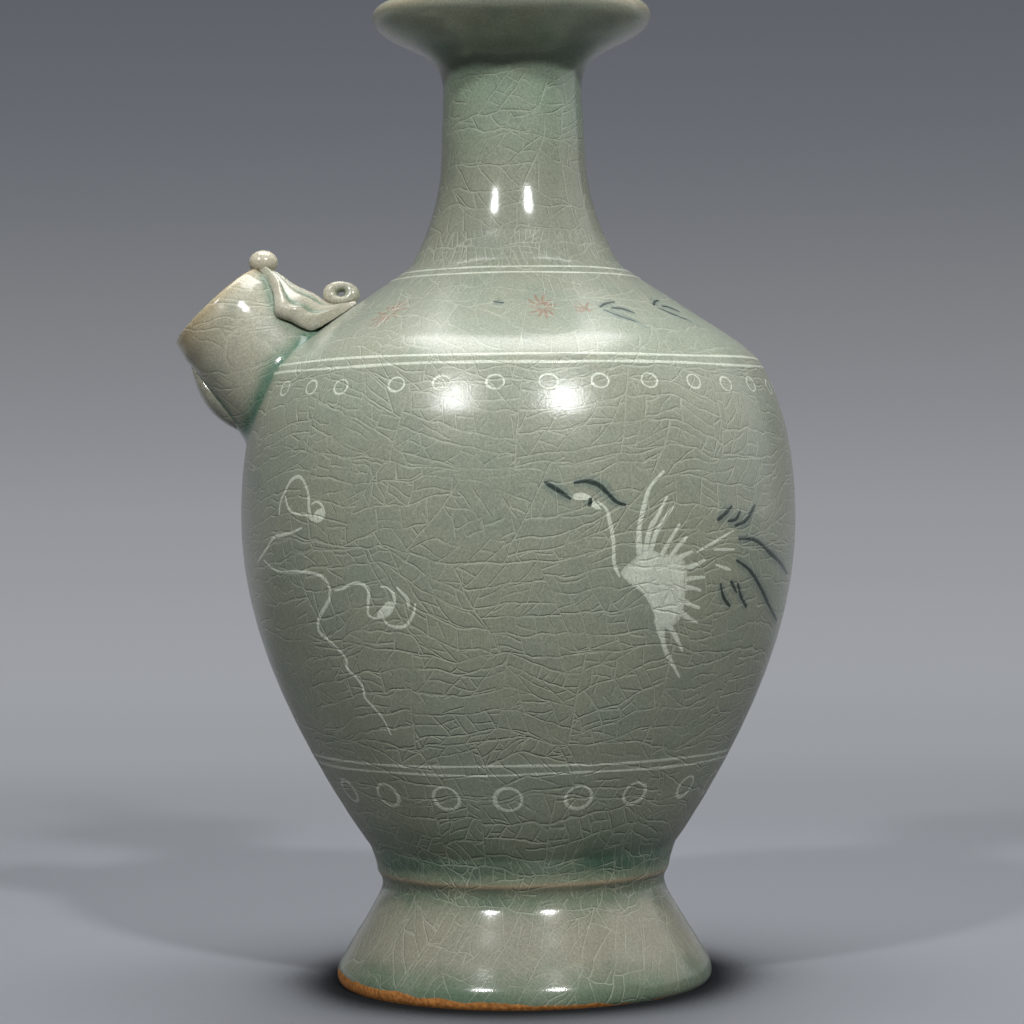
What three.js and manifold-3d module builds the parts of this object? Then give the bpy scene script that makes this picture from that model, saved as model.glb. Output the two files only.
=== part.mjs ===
// Celadon kundika: a pedestal-footed bottle thrown and luted in sections, with a slender pouring tube
// above a flanged neck, a cup-mouthed filler spout on the shoulder, and white slip lines inlaid in grooves.
// Millimetres, +Z up. The filler spout points along -X. The origin is the middle of the space that the pot
// takes up on its resting plane, so the axis that it was thrown on stands a little to the +X side of it.

import * as THREE from 'three';
import { mergeVertices } from 'three/addons/utils/BufferGeometryUtils.js';
import Module from 'manifold-3d';

const wasm = await Module();
wasm.setup();

// Foot
const FOOT_RADIUS = 50.9;
const FOOT_EDGE = 0.8;
const FOOT_BAND = 4.4;
const FOOT_HEIGHT = 26.4;
const FOOT_WALL = 6.5;

// Body, from the waist above the foot to the root of the neck
const WAIST_RADIUS = 38.2;
const COLLAR_RADIUS = 41.5;
const COLLAR_RISE = 10.6;
const BELLY_RADIUS = 75;
const BELLY_RISE = 88;
const BELLY_FULLNESS = 0.93;
const RIDGE_INSET = 1.2;
const SHOULDER_INSET = 15.8;
const SHOULDER_RISE = 47;
const SHOULDER_FULLNESS = 34.8;
const SHOULDER_TURN = 1.9;
const SLOPE_RISE = 20;
const BODY_WALL = 5;
const FLOOR_THICKNESS = 7;

// Neck
const NECK_ROOT_SPREAD = 10;
const NECK_ROOT_RISE = 31;
const NECK_ROOT_TURN = 2.2;
const NECK_FULLNESS = 14.6;
const NECK_RADIUS = 19.4;
const NECK_TOP_RADIUS = 18.6;
const NECK_RISE = 17;
const NECK_WALL = 4.8;

// Flange
const FLANGE_RADIUS = 37.4;
const FLANGE_FLARE_RISE = 13.6;
const FLANGE_LIP_INSET = 7.2;
const FLANGE_LIP_RISE = 9.6;
const FLANGE_CROWN_RISE = 6;
const FLANGE_LIP_EDGE = 2.6;
const FLANGE_THROAT_PULL = 8.4;
const FLANGE_FLARE_PULL = 7.9;
const FLANGE_LIP_PULL = 5.5;
const FLANGE_LIP_TURN = 1.9;
const FLANGE_CROWN_PULL = 1.2;
const FLANGE_SLOPE = THREE.MathUtils.degToRad(25);
const FLANGE_THROAT_RADIUS = 5.2;
const FLANGE_THROAT_LENGTH = 2.3;
const FLANGE_VAULT_RISE = 7.4;

// Pouring tube
const TUBE_COLLAR_RADIUS = 12.4;
const TUBE_COLLAR_RISE = 7;
const TUBE_BEAD = 1.3;
const TUBE_RADIUS = 9.4;
const TUBE_TOP_RADIUS = 7.4;
const TUBE_RISE = 64;
const TUBE_LIP_RADIUS = 8.9;
const TUBE_LIP_RISE = 4.5;
const TUBE_EDGE = 0.5;
const TUBE_BORE_RADIUS = 4.4;
const TUBE_SPIGOT_RADIUS = 8.2;
const TUBE_SPIGOT_DEPTH = 2.6;

// Filler spout and its leaves
const SPOUT_STANDOFF = 6.4;
const SPOUT_MOUTH_RISE = 11.6;
const SPOUT_LEAN = THREE.MathUtils.degToRad(42.3);
const SPOUT_MOUTH_RADIUS = 14.9;
const SPOUT_ROOT_RADIUS = 18.8;
const SPOUT_WALL = 3;
const SPOUT_LENGTH = 34;
const FILL_HOLE_RADIUS = 8.5;
const LEAF_TIP_THICKNESS = 2.2;
const LEAF_TAIL_THICKNESS = 1.5;
const LEAF_RUN = 38.9;
const LEAF_HALF_ANGLE = THREE.MathUtils.degToRad(52);
const BEAD_RADIUS = 3.6;
const BEAD_LIFT = 2.9;
const LOOP_RADIUS = 2.95;
const LOOP_THICKNESS = 3.7;
const LOOP_SQUASH = 0.72;
const LOOP_RUN = 34.2;
const LOOP_STAND = 2.6;
const LOOP_TILT = THREE.MathUtils.degToRad(15);
const SEPAL_THICKNESS = 1.5;
const SEPAL_TIP_THICKNESS = 0.7;
const SEPAL_WIDTH = 14;
const SEPAL_BULGE = 0.4;
const SEPAL_START = 5;
const SEPAL_END = 30;

// Inlaid white slip lines: how far each stands above the collar or below the slope's foot or the neck's root
const LINE_WIDTH = 0.6;
const LINE_DEPTH = 0.6;
const LOWER_LINE_RISE = 23.5;
const SHOULDER_LINE_DROP = 5.9;
const NECK_LINE_DROP = 1.5;
const LINE_PITCH = 2.1;
const NECK_LINE_PITCH = 1.7;

// Luted joints between the thrown sections
const STEP_HEIGHT = 3;
const GAP = 0.3;
const SEAT_GAP = 0.45;
const BELLY_SEAM_DROP = 6;
const NECK_SEAM_RISE = 8.68;

// How finely round forms are faceted
const BODY_SIDES = 40;
const TUBE_SIDES = 24;
const SPOUT_SIDES = 28;

// Heights that follow from the sizes above
const collarHeight = FOOT_HEIGHT + COLLAR_RISE;
const bellyHeight = collarHeight + BELLY_RISE;
const slopeHeight = bellyHeight + SHOULDER_RISE;
const neckRootHeight = slopeHeight + SLOPE_RISE;
const neckHeight = neckRootHeight + NECK_ROOT_RISE;
const neckTopHeight = neckHeight + NECK_RISE;
const flareHeight = neckTopHeight + FLANGE_FLARE_RISE;
const lipHeight = flareHeight + FLANGE_LIP_RISE;
const crownHeight = lipHeight + FLANGE_CROWN_RISE;
const lowerLineHeight = collarHeight + LOWER_LINE_RISE;
const shoulderLineHeight = slopeHeight - SHOULDER_LINE_DROP;
const neckLineHeight = neckRootHeight - NECK_LINE_DROP;
const LOWER_LINES = {
  lower_line_inlay_low: lowerLineHeight,
  lower_line_inlay_high: lowerLineHeight + LINE_PITCH,
};
const UPPER_LINES = {
  shoulder_line_inlay_low: shoulderLineHeight - LINE_PITCH,
  shoulder_line_inlay_high: shoulderLineHeight,
  neck_line_inlay_low: neckLineHeight - NECK_LINE_PITCH,
  neck_line_inlay_high: neckLineHeight,
};

// Places about the thrown axis that follow from the sizes above
const spoutReach = BELLY_RADIUS + SPOUT_STANDOFF;
const spoutMouthHeight = slopeHeight + SPOUT_MOUTH_RISE;
const leafTailReach = spoutReach - LEAF_RUN;
const loopReach = spoutReach - LOOP_RUN;

const clayGlaze = { roughness: 0.28, metalness: 0 };
const celadon = new THREE.MeshStandardMaterial({ color: 0x8f9a86, ...clayGlaze });
const paleCeladon = new THREE.MeshStandardMaterial({ color: 0xb4b3a0, ...clayGlaze });
const whiteSlip = new THREE.MeshStandardMaterial({ color: 0xc9cdbb, ...clayGlaze });

const at = (radius, height) => new THREE.Vector2(radius, height);

// A smooth stretch of outline between two points that leaves and arrives along the given directions.
function sweep(from, leaving, to, arriving, steps) {
  const curve = new THREE.CubicBezierCurve(from, from.clone().add(leaving), to.clone().sub(arriving), to);
  return curve.getPoints(steps);
}

// The same outline moved towards the clay by the wall's thickness.
function inset(outline, wall) {
  return outline.map((point, i) => {
    const before = outline[Math.max(i - 1, 0)];
    const after = outline[Math.min(i + 1, outline.length - 1)];
    const along = after.clone().sub(before).normalize();
    return at(point.x - along.y * wall, point.y + along.x * wall);
  });
}

// Radius of a rising outline at a height.
function radiusAt(outline, height) {
  const above = Math.max(outline.findIndex((point) => point.y >= height), 1);
  const [low, high] = [outline[above - 1], outline[above]];
  return THREE.MathUtils.mapLinear(height, low.y, high.y, low.x, high.x);
}

// The part of a rising outline between two heights, with a point on each.
function between(outline, low, high) {
  const margin = 0.05;
  const inside = outline.filter((point) => point.y > low + margin && point.y < high - margin);
  return [at(radiusAt(outline, low), low), ...inside, at(radiusAt(outline, high), high)];
}

// The four corners of the groove that holds an inlaid line: lower lip, lower root, upper root, upper lip.
function grooveCorners(outline, height) {
  const low = at(radiusAt(outline, height - LINE_WIDTH / 2), height - LINE_WIDTH / 2);
  const high = at(radiusAt(outline, height + LINE_WIDTH / 2), height + LINE_WIDTH / 2);
  const along = high.clone().sub(low).normalize();
  const inwards = at(-along.y, along.x).multiplyScalar(LINE_DEPTH);
  return [low, low.clone().add(inwards), high.clone().add(inwards), high];
}

// An outline with a groove cut into it at each height.
function grooved(outline, heights) {
  let points = outline;
  for (const height of heights) {
    const corners = grooveCorners(outline, height);
    points = [
      ...points.filter((point) => point.y < corners[0].y),
      ...corners,
      ...points.filter((point) => point.y > corners[3].y),
    ];
  }
  return points;
}

// A solid of revolution about +Z.
function turned(profile, sides) {
  return new THREE.LatheGeometry(profile, sides).rotateX(Math.PI / 2);
}

function closed(profile) {
  return [...profile, profile[0].clone()];
}

function solidOf(geometry) {
  const bare = geometry.clone();
  bare.deleteAttribute('normal');
  bare.deleteAttribute('uv');
  const merged = mergeVertices(bare, 1e-4);
  return new wasm.Manifold(
    new wasm.Mesh({
      numProp: 3,
      vertProperties: new Float32Array(merged.attributes.position.array),
      triVerts: new Uint32Array(merged.index.array),
    }),
  );
}

function geometryOf(solid) {
  const mesh = solid.getMesh();
  const geometry = new THREE.BufferGeometry();
  geometry.setAttribute('position', new THREE.BufferAttribute(mesh.vertProperties, 3));
  geometry.setIndex(new THREE.BufferAttribute(mesh.triVerts, 1));
  geometry.computeVertexNormals();
  return geometry;
}

// What is left of a geometry when others are cut away from it.
function cut(geometry, ...tools) {
  const left = tools.reduce((solid, tool) => solid.subtract(solidOf(tool)), solidOf(geometry));
  return geometryOf(left);
}

function piece(name, geometry, material) {
  const mesh = new THREE.Mesh(geometry, material);
  mesh.name = name;
  return mesh;
}

// Outer outline of the body, rising from the waist to the top of the neck.
function bodyOutline() {
  const ridge = at(COLLAR_RADIUS - RIDGE_INSET, FOOT_HEIGHT + COLLAR_RISE * 0.5);
  const collar = [at(WAIST_RADIUS, FOOT_HEIGHT), ridge];
  const bowlSteps = 10;
  const bowl = Array.from({ length: bowlSteps + 1 }, (_, i) => {
    const rise = i / bowlSteps;
    const fullness = Math.sin((rise * Math.PI) / 2) ** BELLY_FULLNESS;
    return at(
      THREE.MathUtils.lerp(COLLAR_RADIUS, BELLY_RADIUS, fullness),
      collarHeight + rise * BELLY_RISE,
    );
  });
  const slopeTop = at(BELLY_RADIUS - SHOULDER_INSET, slopeHeight);
  const neckRoot = at(NECK_RADIUS + NECK_ROOT_SPREAD, neckRootHeight);
  const slope = neckRoot.clone().sub(slopeTop).normalize();
  const neck = at(NECK_RADIUS, neckHeight);
  const shoulder = sweep(
    bowl.at(-1),
    at(0, SHOULDER_FULLNESS),
    slopeTop,
    slope.clone().multiplyScalar(SHOULDER_TURN),
    9,
  );
  const throat = sweep(
    neckRoot,
    slope.clone().multiplyScalar(NECK_ROOT_TURN),
    neck,
    at(0, NECK_FULLNESS),
    7,
  );
  return [...collar, ...bowl, ...shoulder.slice(1), ...throat, at(NECK_TOP_RADIUS, neckTopHeight)];
}

// Inner outline: the body's wall, then the neck's, carried on far enough to line the joint with the flange.
function chamberOutline(outline) {
  const everyOther = outline.filter((_, i) => i % 2 === 0);
  const chamber = inset(everyOther.filter((point) => point.y <= neckRootHeight), BODY_WALL);
  const neck = inset(everyOther.filter((point) => point.y >= neckHeight - NECK_ROOT_RISE / 2), NECK_WALL);
  return [...chamber, ...neck, at(NECK_TOP_RADIUS - NECK_WALL, neckTopHeight + STEP_HEIGHT)];
}

const outline = bodyOutline();
const chamber = chamberOutline(outline);
const bellySeam = bellyHeight - BELLY_SEAM_DROP;
const neckSeam = neckRootHeight + NECK_SEAM_RISE;

// Where a joint's tongue ends and the recess around it begins, shared out evenly on a leaning wall too.
const jointRadius = (height) => (radiusAt(outline, height + STEP_HEIGHT) + radiusAt(chamber, height)) / 2;

// Top end of a section, from outside to inside: a flat land, then a tongue on the wall's inner half.
function tongue(height) {
  const radius = jointRadius(height) - GAP / 2;
  return [at(radius, height), at(radius, height + STEP_HEIGHT)];
}

// Bottom end of the next section, from inside to outside: the recess that takes the tongue.
function recess(height) {
  const radius = jointRadius(height) + GAP / 2;
  return [at(radius, height + STEP_HEIGHT + GAP), at(radius, height)];
}

// A ring-shaped wall between two seams.
function thrownWall(skin, low, high) {
  const inner = between(chamber, low + STEP_HEIGHT + GAP, high + STEP_HEIGHT).reverse();
  return closed([...between(skin, low, high), ...tongue(high), ...inner, ...recess(low)]);
}

function makeFoot() {
  const spigotRadius = WAIST_RADIUS - FOOT_WALL;
  const bandTop = at(FOOT_RADIUS - 0.5, FOOT_BAND);
  const profile = [
    at(FOOT_RADIUS - FOOT_EDGE, 0),
    at(FOOT_RADIUS, FOOT_EDGE * 1.6),
    at(FOOT_RADIUS, FOOT_BAND * 0.65),
    bandTop,
    at(THREE.MathUtils.lerp(WAIST_RADIUS, bandTop.x, 0.06), FOOT_HEIGHT - FOOT_EDGE * 3),
    at(WAIST_RADIUS, FOOT_HEIGHT),
    at(spigotRadius, FOOT_HEIGHT),
    at(spigotRadius, FOOT_HEIGHT - STEP_HEIGHT),
    at(FOOT_RADIUS - FOOT_WALL - 1, FOOT_BAND * 0.65),
    at(FOOT_RADIUS - FOOT_WALL, 0),
  ];
  return piece('foot', turned(closed(profile), BODY_SIDES), celadon);
}

function makeLowerBody() {
  const spigotRadius = WAIST_RADIUS - FOOT_WALL - GAP;
  const floor = FOOT_HEIGHT + FLOOR_THICKNESS;
  const skin = grooved(outline, Object.values(LOWER_LINES));
  const inner = between(chamber, floor + BODY_WALL, bellySeam + STEP_HEIGHT).reverse();
  const profile = [
    at(0, FOOT_HEIGHT - STEP_HEIGHT),
    at(spigotRadius, FOOT_HEIGHT - STEP_HEIGHT),
    at(spigotRadius, FOOT_HEIGHT),
    ...between(skin, FOOT_HEIGHT, bellySeam),
    ...tongue(bellySeam),
    ...inner,
    at(inner.at(-1).x - BODY_WALL * 1.6, floor + BODY_WALL * 0.3),
    at(0, floor),
  ];
  return piece('lower_body', turned(profile, BODY_SIDES), celadon);
}

// The filler spout's frame: its origin is the centre of the mouth, +Z points out of it and +X towards
// the neck.
const spoutFrame = new THREE.Group();
spoutFrame.position.set(-spoutReach, 0, spoutMouthHeight);
spoutFrame.rotation.y = -SPOUT_LEAN;
spoutFrame.updateMatrixWorld(true);
const intoSpoutFrame = spoutFrame.matrixWorld.clone().invert();

// Outer radius of the spout at a depth below its mouth: it swells quickly at first, then hardly at all.
function spoutRadius(depth) {
  const share = THREE.MathUtils.clamp(depth / SPOUT_LENGTH, 0, 1);
  return THREE.MathUtils.lerp(SPOUT_MOUTH_RADIUS, SPOUT_ROOT_RADIUS, Math.sin((share * Math.PI) / 2));
}

// The whole body without its hollow, grown by a clearance, in the spout's frame or the part's own.
function bodyCore(clearance, matrix) {
  const skin = inset(outline, -clearance);
  const profile = [at(0, skin[0].y), ...skin, at(0, skin.at(-1).y)];
  const core = turned(profile, BODY_SIDES);
  return matrix ? core.applyMatrix4(matrix) : core;
}

// Outside of the spout, rising from its root to just under the rim.
function spoutOutline() {
  const steps = 6;
  const rimDepth = 1.5;
  return Array.from({ length: steps + 1 }, (_, i) => {
    const depth = THREE.MathUtils.lerp(SPOUT_LENGTH, rimDepth, i / steps);
    return at(spoutRadius(depth), -depth);
  });
}

// The whole spout without its hollow, grown by a clearance.
function spoutCore(clearance) {
  const wall = [...spoutOutline(), at(SPOUT_MOUTH_RADIUS, 0)];
  const skin = wall.map((point) => at(point.x + clearance, point.y));
  const top = at(SPOUT_MOUTH_RADIUS + clearance, clearance);
  return turned([at(0, -SPOUT_LENGTH), ...skin, top, at(0, clearance)], SPOUT_SIDES);
}

function makeUpperBody() {
  const skin = grooved(outline, Object.values(UPPER_LINES));
  const wall = turned(thrownWall(skin, bellySeam, neckSeam), BODY_SIDES);
  const drill = new THREE.CylinderGeometry(FILL_HOLE_RADIUS, FILL_HOLE_RADIUS, SPOUT_LENGTH, SPOUT_SIDES)
    .rotateX(Math.PI / 2)
    .translate(0, 0, -SPOUT_LENGTH)
    .applyMatrix4(spoutFrame.matrixWorld);
  return piece('upper_body', cut(wall, drill), celadon);
}

function makeNeck() {
  const low = neckSeam;
  const high = neckTopHeight - STEP_HEIGHT;
  return piece('neck', turned(thrownWall(outline, low, high), BODY_SIDES), celadon);
}

// The flange carries on from the neck, flares to its lip and holds the pouring tube in a socket on top.
function makeFlange() {
  const seam = neckTopHeight - STEP_HEIGHT;
  const flareEnd = at(FLANGE_RADIUS - FLANGE_LIP_INSET, flareHeight);
  const flareSlope = at(Math.cos(FLANGE_SLOPE), Math.sin(FLANGE_SLOPE));
  const lip = at(FLANGE_RADIUS, flareHeight + FLANGE_LIP_RISE * 0.66);
  const flare = sweep(
    at(NECK_TOP_RADIUS, neckTopHeight),
    at(0, FLANGE_THROAT_PULL),
    flareEnd,
    flareSlope.clone().multiplyScalar(FLANGE_FLARE_PULL),
    6,
  );
  const underLip = sweep(
    flareEnd,
    flareSlope.clone().multiplyScalar(FLANGE_LIP_PULL),
    lip,
    at(0, FLANGE_LIP_TURN),
    4,
  );
  const overLip = sweep(
    lip,
    at(0, FLANGE_LIP_TURN),
    at(FLANGE_RADIUS - FLANGE_LIP_EDGE, lipHeight),
    at(-1, 0.1),
    3,
  );
  const crown = sweep(
    overLip.at(-1),
    at(-FLANGE_LIP_INSET, FLANGE_CROWN_PULL),
    at(TUBE_COLLAR_RADIUS + 1, crownHeight),
    at(-FLANGE_LIP_INSET, FLANGE_CROWN_PULL),
    4,
  );
  const socket = TUBE_SPIGOT_RADIUS + GAP;
  const socketFloor = crownHeight - TUBE_SPIGOT_DEPTH - GAP;
  const throatFoot = socketFloor - FLANGE_THROAT_LENGTH;
  const bore = radiusAt(chamber, seam + STEP_HEIGHT);
  const profile = [
    at(radiusAt(outline, seam), seam),
    ...flare,
    ...underLip.slice(1),
    ...overLip.slice(1),
    ...crown.slice(1),
    at(socket, crownHeight),
    at(socket, socketFloor),
    at(FLANGE_THROAT_RADIUS, socketFloor),
    at(FLANGE_THROAT_RADIUS, throatFoot),
    at(bore, throatFoot - FLANGE_VAULT_RISE),
    at(bore, seam + STEP_HEIGHT + GAP),
    ...recess(seam),
  ];
  return piece('flange', turned(closed(profile), BODY_SIDES), celadon);
}

function makeTube() {
  const foot = crownHeight;
  const collarTop = foot + TUBE_COLLAR_RISE;
  const top = foot + TUBE_RISE;
  const profile = [
    at(TUBE_SPIGOT_RADIUS, foot - TUBE_SPIGOT_DEPTH),
    at(TUBE_SPIGOT_RADIUS, foot),
    at(TUBE_COLLAR_RADIUS, foot),
    at(TUBE_COLLAR_RADIUS, foot + TUBE_COLLAR_RISE * 0.25),
    at(TUBE_RADIUS + TUBE_BEAD * 0.6, foot + TUBE_COLLAR_RISE * 0.55),
    at(TUBE_RADIUS + TUBE_BEAD, foot + TUBE_COLLAR_RISE * 0.75),
    at(TUBE_RADIUS, collarTop),
    at(THREE.MathUtils.lerp(TUBE_RADIUS, TUBE_TOP_RADIUS, 0.6), (collarTop + top) / 2),
    at(TUBE_TOP_RADIUS, top - TUBE_LIP_RISE),
    at(TUBE_LIP_RADIUS, top - TUBE_LIP_RISE * 0.45),
    at(TUBE_LIP_RADIUS, top - TUBE_EDGE),
    at(TUBE_LIP_RADIUS - TUBE_EDGE * 2, top),
    at(TUBE_BORE_RADIUS + TUBE_EDGE, top - TUBE_EDGE * 0.5),
    at(TUBE_BORE_RADIUS, top - TUBE_LIP_RISE * 0.5),
    at(TUBE_BORE_RADIUS, foot - TUBE_SPIGOT_DEPTH),
  ];
  return piece('pouring_tube', turned(closed(profile), TUBE_SIDES), celadon);
}

// Each line fills its groove, flush with the wall, and stops short of the filler spout where it meets it.
function makeLine(name, height) {
  const [lowLip, lowRoot, highRoot, highLip] = grooveCorners(outline, height);
  const ring = turned(closed([lowRoot, lowLip, highLip, highRoot]), BODY_SIDES);
  const spout = spoutCore(GAP).applyMatrix4(spoutFrame.matrixWorld);
  return piece(name, cut(ring, spout), whiteSlip);
}

function makeSpout() {
  const outer = spoutOutline();
  const inner = outer.map((point) => at(point.x - SPOUT_WALL, point.y)).reverse();
  const rim = [
    at(SPOUT_MOUTH_RADIUS, -0.5),
    at(SPOUT_MOUTH_RADIUS - SPOUT_WALL * 0.3, 0),
    at(SPOUT_MOUTH_RADIUS - SPOUT_WALL * 0.7, 0),
    at(SPOUT_MOUTH_RADIUS - SPOUT_WALL * 0.95, -0.5),
  ];
  const cup = turned(closed([...outer, ...rim, ...inner]), SPOUT_SIDES);
  return piece('filler_spout', cut(cup, bodyCore(GAP, intoSpoutFrame)), paleCeladon);
}

// A closed slab over a grid: surface(u, v) gives its underside, and over(u, v) the step from there to
// its top.
function slab(surface, over, columns, rows) {
  const positions = [];
  const indices = [];
  const index = (layer, i, j) => layer * (columns + 1) * (rows + 1) + i * (rows + 1) + j;
  for (const layer of [0, 1]) {
    for (let i = 0; i <= columns; i += 1) {
      for (let j = 0; j <= rows; j += 1) {
        const [u, v] = [i / columns, (2 * j) / rows - 1];
        const point = surface(u, v);
        if (layer === 1) point.add(over(u, v));
        positions.push(...point.toArray());
      }
    }
  }
  const quad = (a, b, c, d) => indices.push(a, b, c, a, c, d);
  for (let i = 0; i < columns; i += 1) {
    for (let j = 0; j < rows; j += 1) {
      quad(index(0, i, j), index(0, i, j + 1), index(0, i + 1, j + 1), index(0, i + 1, j));
      quad(index(1, i, j), index(1, i + 1, j), index(1, i + 1, j + 1), index(1, i, j + 1));
    }
    quad(index(0, i, 0), index(0, i + 1, 0), index(1, i + 1, 0), index(1, i, 0));
    quad(index(0, i + 1, rows), index(0, i, rows), index(1, i, rows), index(1, i + 1, rows));
  }
  for (let j = 0; j < rows; j += 1) {
    quad(index(0, 0, j + 1), index(0, 0, j), index(1, 0, j), index(1, 0, j + 1));
    const far = [index(0, columns, j), index(0, columns, j + 1), index(1, columns, j + 1)];
    quad(...far, index(1, columns, j));
  }
  const geometry = new THREE.BufferGeometry();
  geometry.setAttribute('position', new THREE.Float32BufferAttribute(positions, 3));
  geometry.setIndex(indices);
  return geometry;
}

// Height of the shoulder's surface at a radius.
function shoulderHeight(radius) {
  const low = outline.findLast((point) => point.x >= radius);
  const high = outline[outline.indexOf(low) + 1];
  return THREE.MathUtils.mapLinear(radius, low.x, high.x, low.y, high.y);
}

// The leaf's middle line in the spout's frame: down the wall from the rim, then out along the shoulder.
function leafSpine() {
  const shoulder = new THREE.Vector3(-leafTailReach, 0, shoulderHeight(leafTailReach));
  const tail = shoulder.applyMatrix4(intoSpoutFrame);
  return new THREE.CubicBezierCurve(
    at(SPOUT_MOUTH_RADIUS + SEAT_GAP, -1),
    at(SPOUT_ROOT_RADIUS - 0.8, tail.z / 2),
    at(SPOUT_ROOT_RADIUS - 0.5, tail.z + 2),
    at(tail.x, tail.z + SEAT_GAP),
  );
}

// The leaf wraps the side of the spout that faces the neck: a tip at the rim, full sides and a tail on
// the shoulder.
function leafSlab() {
  const spine = leafSpine();
  const blunt = 0.03;
  const fullness = (u) => Math.sin(Math.PI * THREE.MathUtils.lerp(blunt, 1 - blunt, u ** 0.75)) ** 0.6;
  const halfAngle = (u) => LEAF_HALF_ANGLE * fullness(u);
  const turnedOut = (point, angle) => new THREE.Vector3(
    point.x * Math.cos(angle),
    point.x * Math.sin(angle),
    point.y,
  );
  const surface = (u, v) => turnedOut(spine.getPoint(u), halfAngle(u) * v);
  const over = (u, v) => {
    const along = spine.getTangent(u);
    const thickness = THREE.MathUtils.lerp(LEAF_TIP_THICKNESS, LEAF_TAIL_THICKNESS, u);
    return turnedOut(at(-along.y, along.x), halfAngle(u) * v).multiplyScalar(thickness);
  };
  return slab(surface, over, 11, 8);
}

// The loop is an oval ring that stands over the shoulder on the leaf's end, in the part's own frame.
function loopRing(clearance) {
  const tall = (LOOP_RADIUS + LOOP_THICKNESS / 2) * LOOP_SQUASH;
  const ring = new THREE.TorusGeometry(LOOP_RADIUS, LOOP_THICKNESS / 2 + clearance, 8, 18);
  ring.scale(1, LOOP_SQUASH, 1);
  ring.rotateX(Math.PI / 2 - LOOP_TILT);
  return ring.translate(-loopReach, 0, shoulderHeight(loopReach) + LOOP_STAND + tall);
}

function beadBall(clearance) {
  const ball = new THREE.SphereGeometry(BEAD_RADIUS + clearance, 14, 10);
  return ball.translate(SPOUT_MOUTH_RADIUS + BEAD_LIFT, 0, 0);
}

function makeLeaf() {
  const ring = loopRing(GAP).applyMatrix4(intoSpoutFrame);
  const leaf = cut(leafSlab(), bodyCore(GAP, intoSpoutFrame), spoutCore(GAP), beadBall(GAP), ring);
  return piece('spout_leaf', leaf, paleCeladon);
}

function makeBead() {
  return piece('leaf_bead', cut(beadBall(0), spoutCore(GAP)), paleCeladon);
}

function makeLoop() {
  return piece('lid_cord_loop', cut(loopRing(0), bodyCore(GAP)), paleCeladon);
}

// The sepal is a flat leaf under the spout: it is nearest the wall along its middle, and its edges
// stand off.
function makeSepal() {
  const depth = (u) => THREE.MathUtils.lerp(SEPAL_START, SEPAL_END, u);
  const surface = (u, v) => {
    const halfWidth = (SEPAL_WIDTH / 2) * Math.sin(Math.PI * (0.1 + 0.6 * u)) ** 0.6;
    const bulge = SEPAL_BULGE * Math.sin(Math.PI * u) ** 2;
    return new THREE.Vector3(-(spoutRadius(depth(u)) + SEAT_GAP + bulge), halfWidth * v, -depth(u));
  };
  const swell = (u) => Math.sin(Math.PI * u);
  const thickness = (u) => THREE.MathUtils.lerp(SEPAL_TIP_THICKNESS, SEPAL_THICKNESS, swell(u));
  const leaf = slab((u, v) => surface(u, -v), (u) => new THREE.Vector3(-thickness(u), 0, 0), 9, 4);
  return piece('spout_sepal', cut(leaf, bodyCore(GAP, intoSpoutFrame)), paleCeladon);
}

const kundika = new THREE.Group();
kundika.name = 'kundika';
kundika.add(makeFoot(), makeLowerBody(), makeUpperBody(), makeNeck(), makeFlange(), makeTube(), makeLoop());
for (const [name, height] of Object.entries({ ...LOWER_LINES, ...UPPER_LINES })) {
  kundika.add(makeLine(name, height));
}
spoutFrame.add(makeSpout(), makeLeaf(), makeBead(), makeSepal());
kundika.add(spoutFrame);
kundika.position.x = -new THREE.Box3().setFromObject(kundika, true).getCenter(new THREE.Vector3()).x;

export default kundika;
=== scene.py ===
"""Looks of the celadon kundika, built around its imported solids.

The pot is thrown in sections about one upright axis and luted together. A filler spout with a moulded leaf
leans out of its shoulder. White, black and red slips are inlaid in the clay, and one crackled grey-green
glaze runs over everything but the foot's edge. Sizes are in millimetres and become metres in the meshes.
"""

import logging
import math
from dataclasses import dataclass, field, replace
from enum import Enum

import bmesh
import bpy
import numpy as np
from mathutils import Matrix, Vector

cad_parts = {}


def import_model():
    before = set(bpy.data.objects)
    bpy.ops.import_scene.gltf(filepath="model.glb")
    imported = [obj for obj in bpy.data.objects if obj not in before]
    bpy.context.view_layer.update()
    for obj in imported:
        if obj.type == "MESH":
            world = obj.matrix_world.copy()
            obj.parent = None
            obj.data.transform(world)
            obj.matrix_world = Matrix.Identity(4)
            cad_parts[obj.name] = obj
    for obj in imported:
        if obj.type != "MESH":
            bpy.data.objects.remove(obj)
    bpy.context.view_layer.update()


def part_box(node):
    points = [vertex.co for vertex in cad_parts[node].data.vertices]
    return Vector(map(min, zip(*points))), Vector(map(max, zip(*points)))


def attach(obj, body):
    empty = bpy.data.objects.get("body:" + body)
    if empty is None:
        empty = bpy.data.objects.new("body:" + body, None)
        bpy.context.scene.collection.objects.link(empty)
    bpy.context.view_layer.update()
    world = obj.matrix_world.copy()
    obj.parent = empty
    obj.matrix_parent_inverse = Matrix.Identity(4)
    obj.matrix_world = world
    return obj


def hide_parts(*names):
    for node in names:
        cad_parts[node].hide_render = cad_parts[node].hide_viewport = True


LOG = logging.getLogger("kundika")
MM = 0.001
BODY = "root"
TURN = 2 * np.pi

Array = np.ndarray
Colour = tuple[float, float, float, float]
Line = tuple[tuple[float, float], ...]
Material = bpy.types.Material
Socket = bpy.types.NodeSocket


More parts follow.
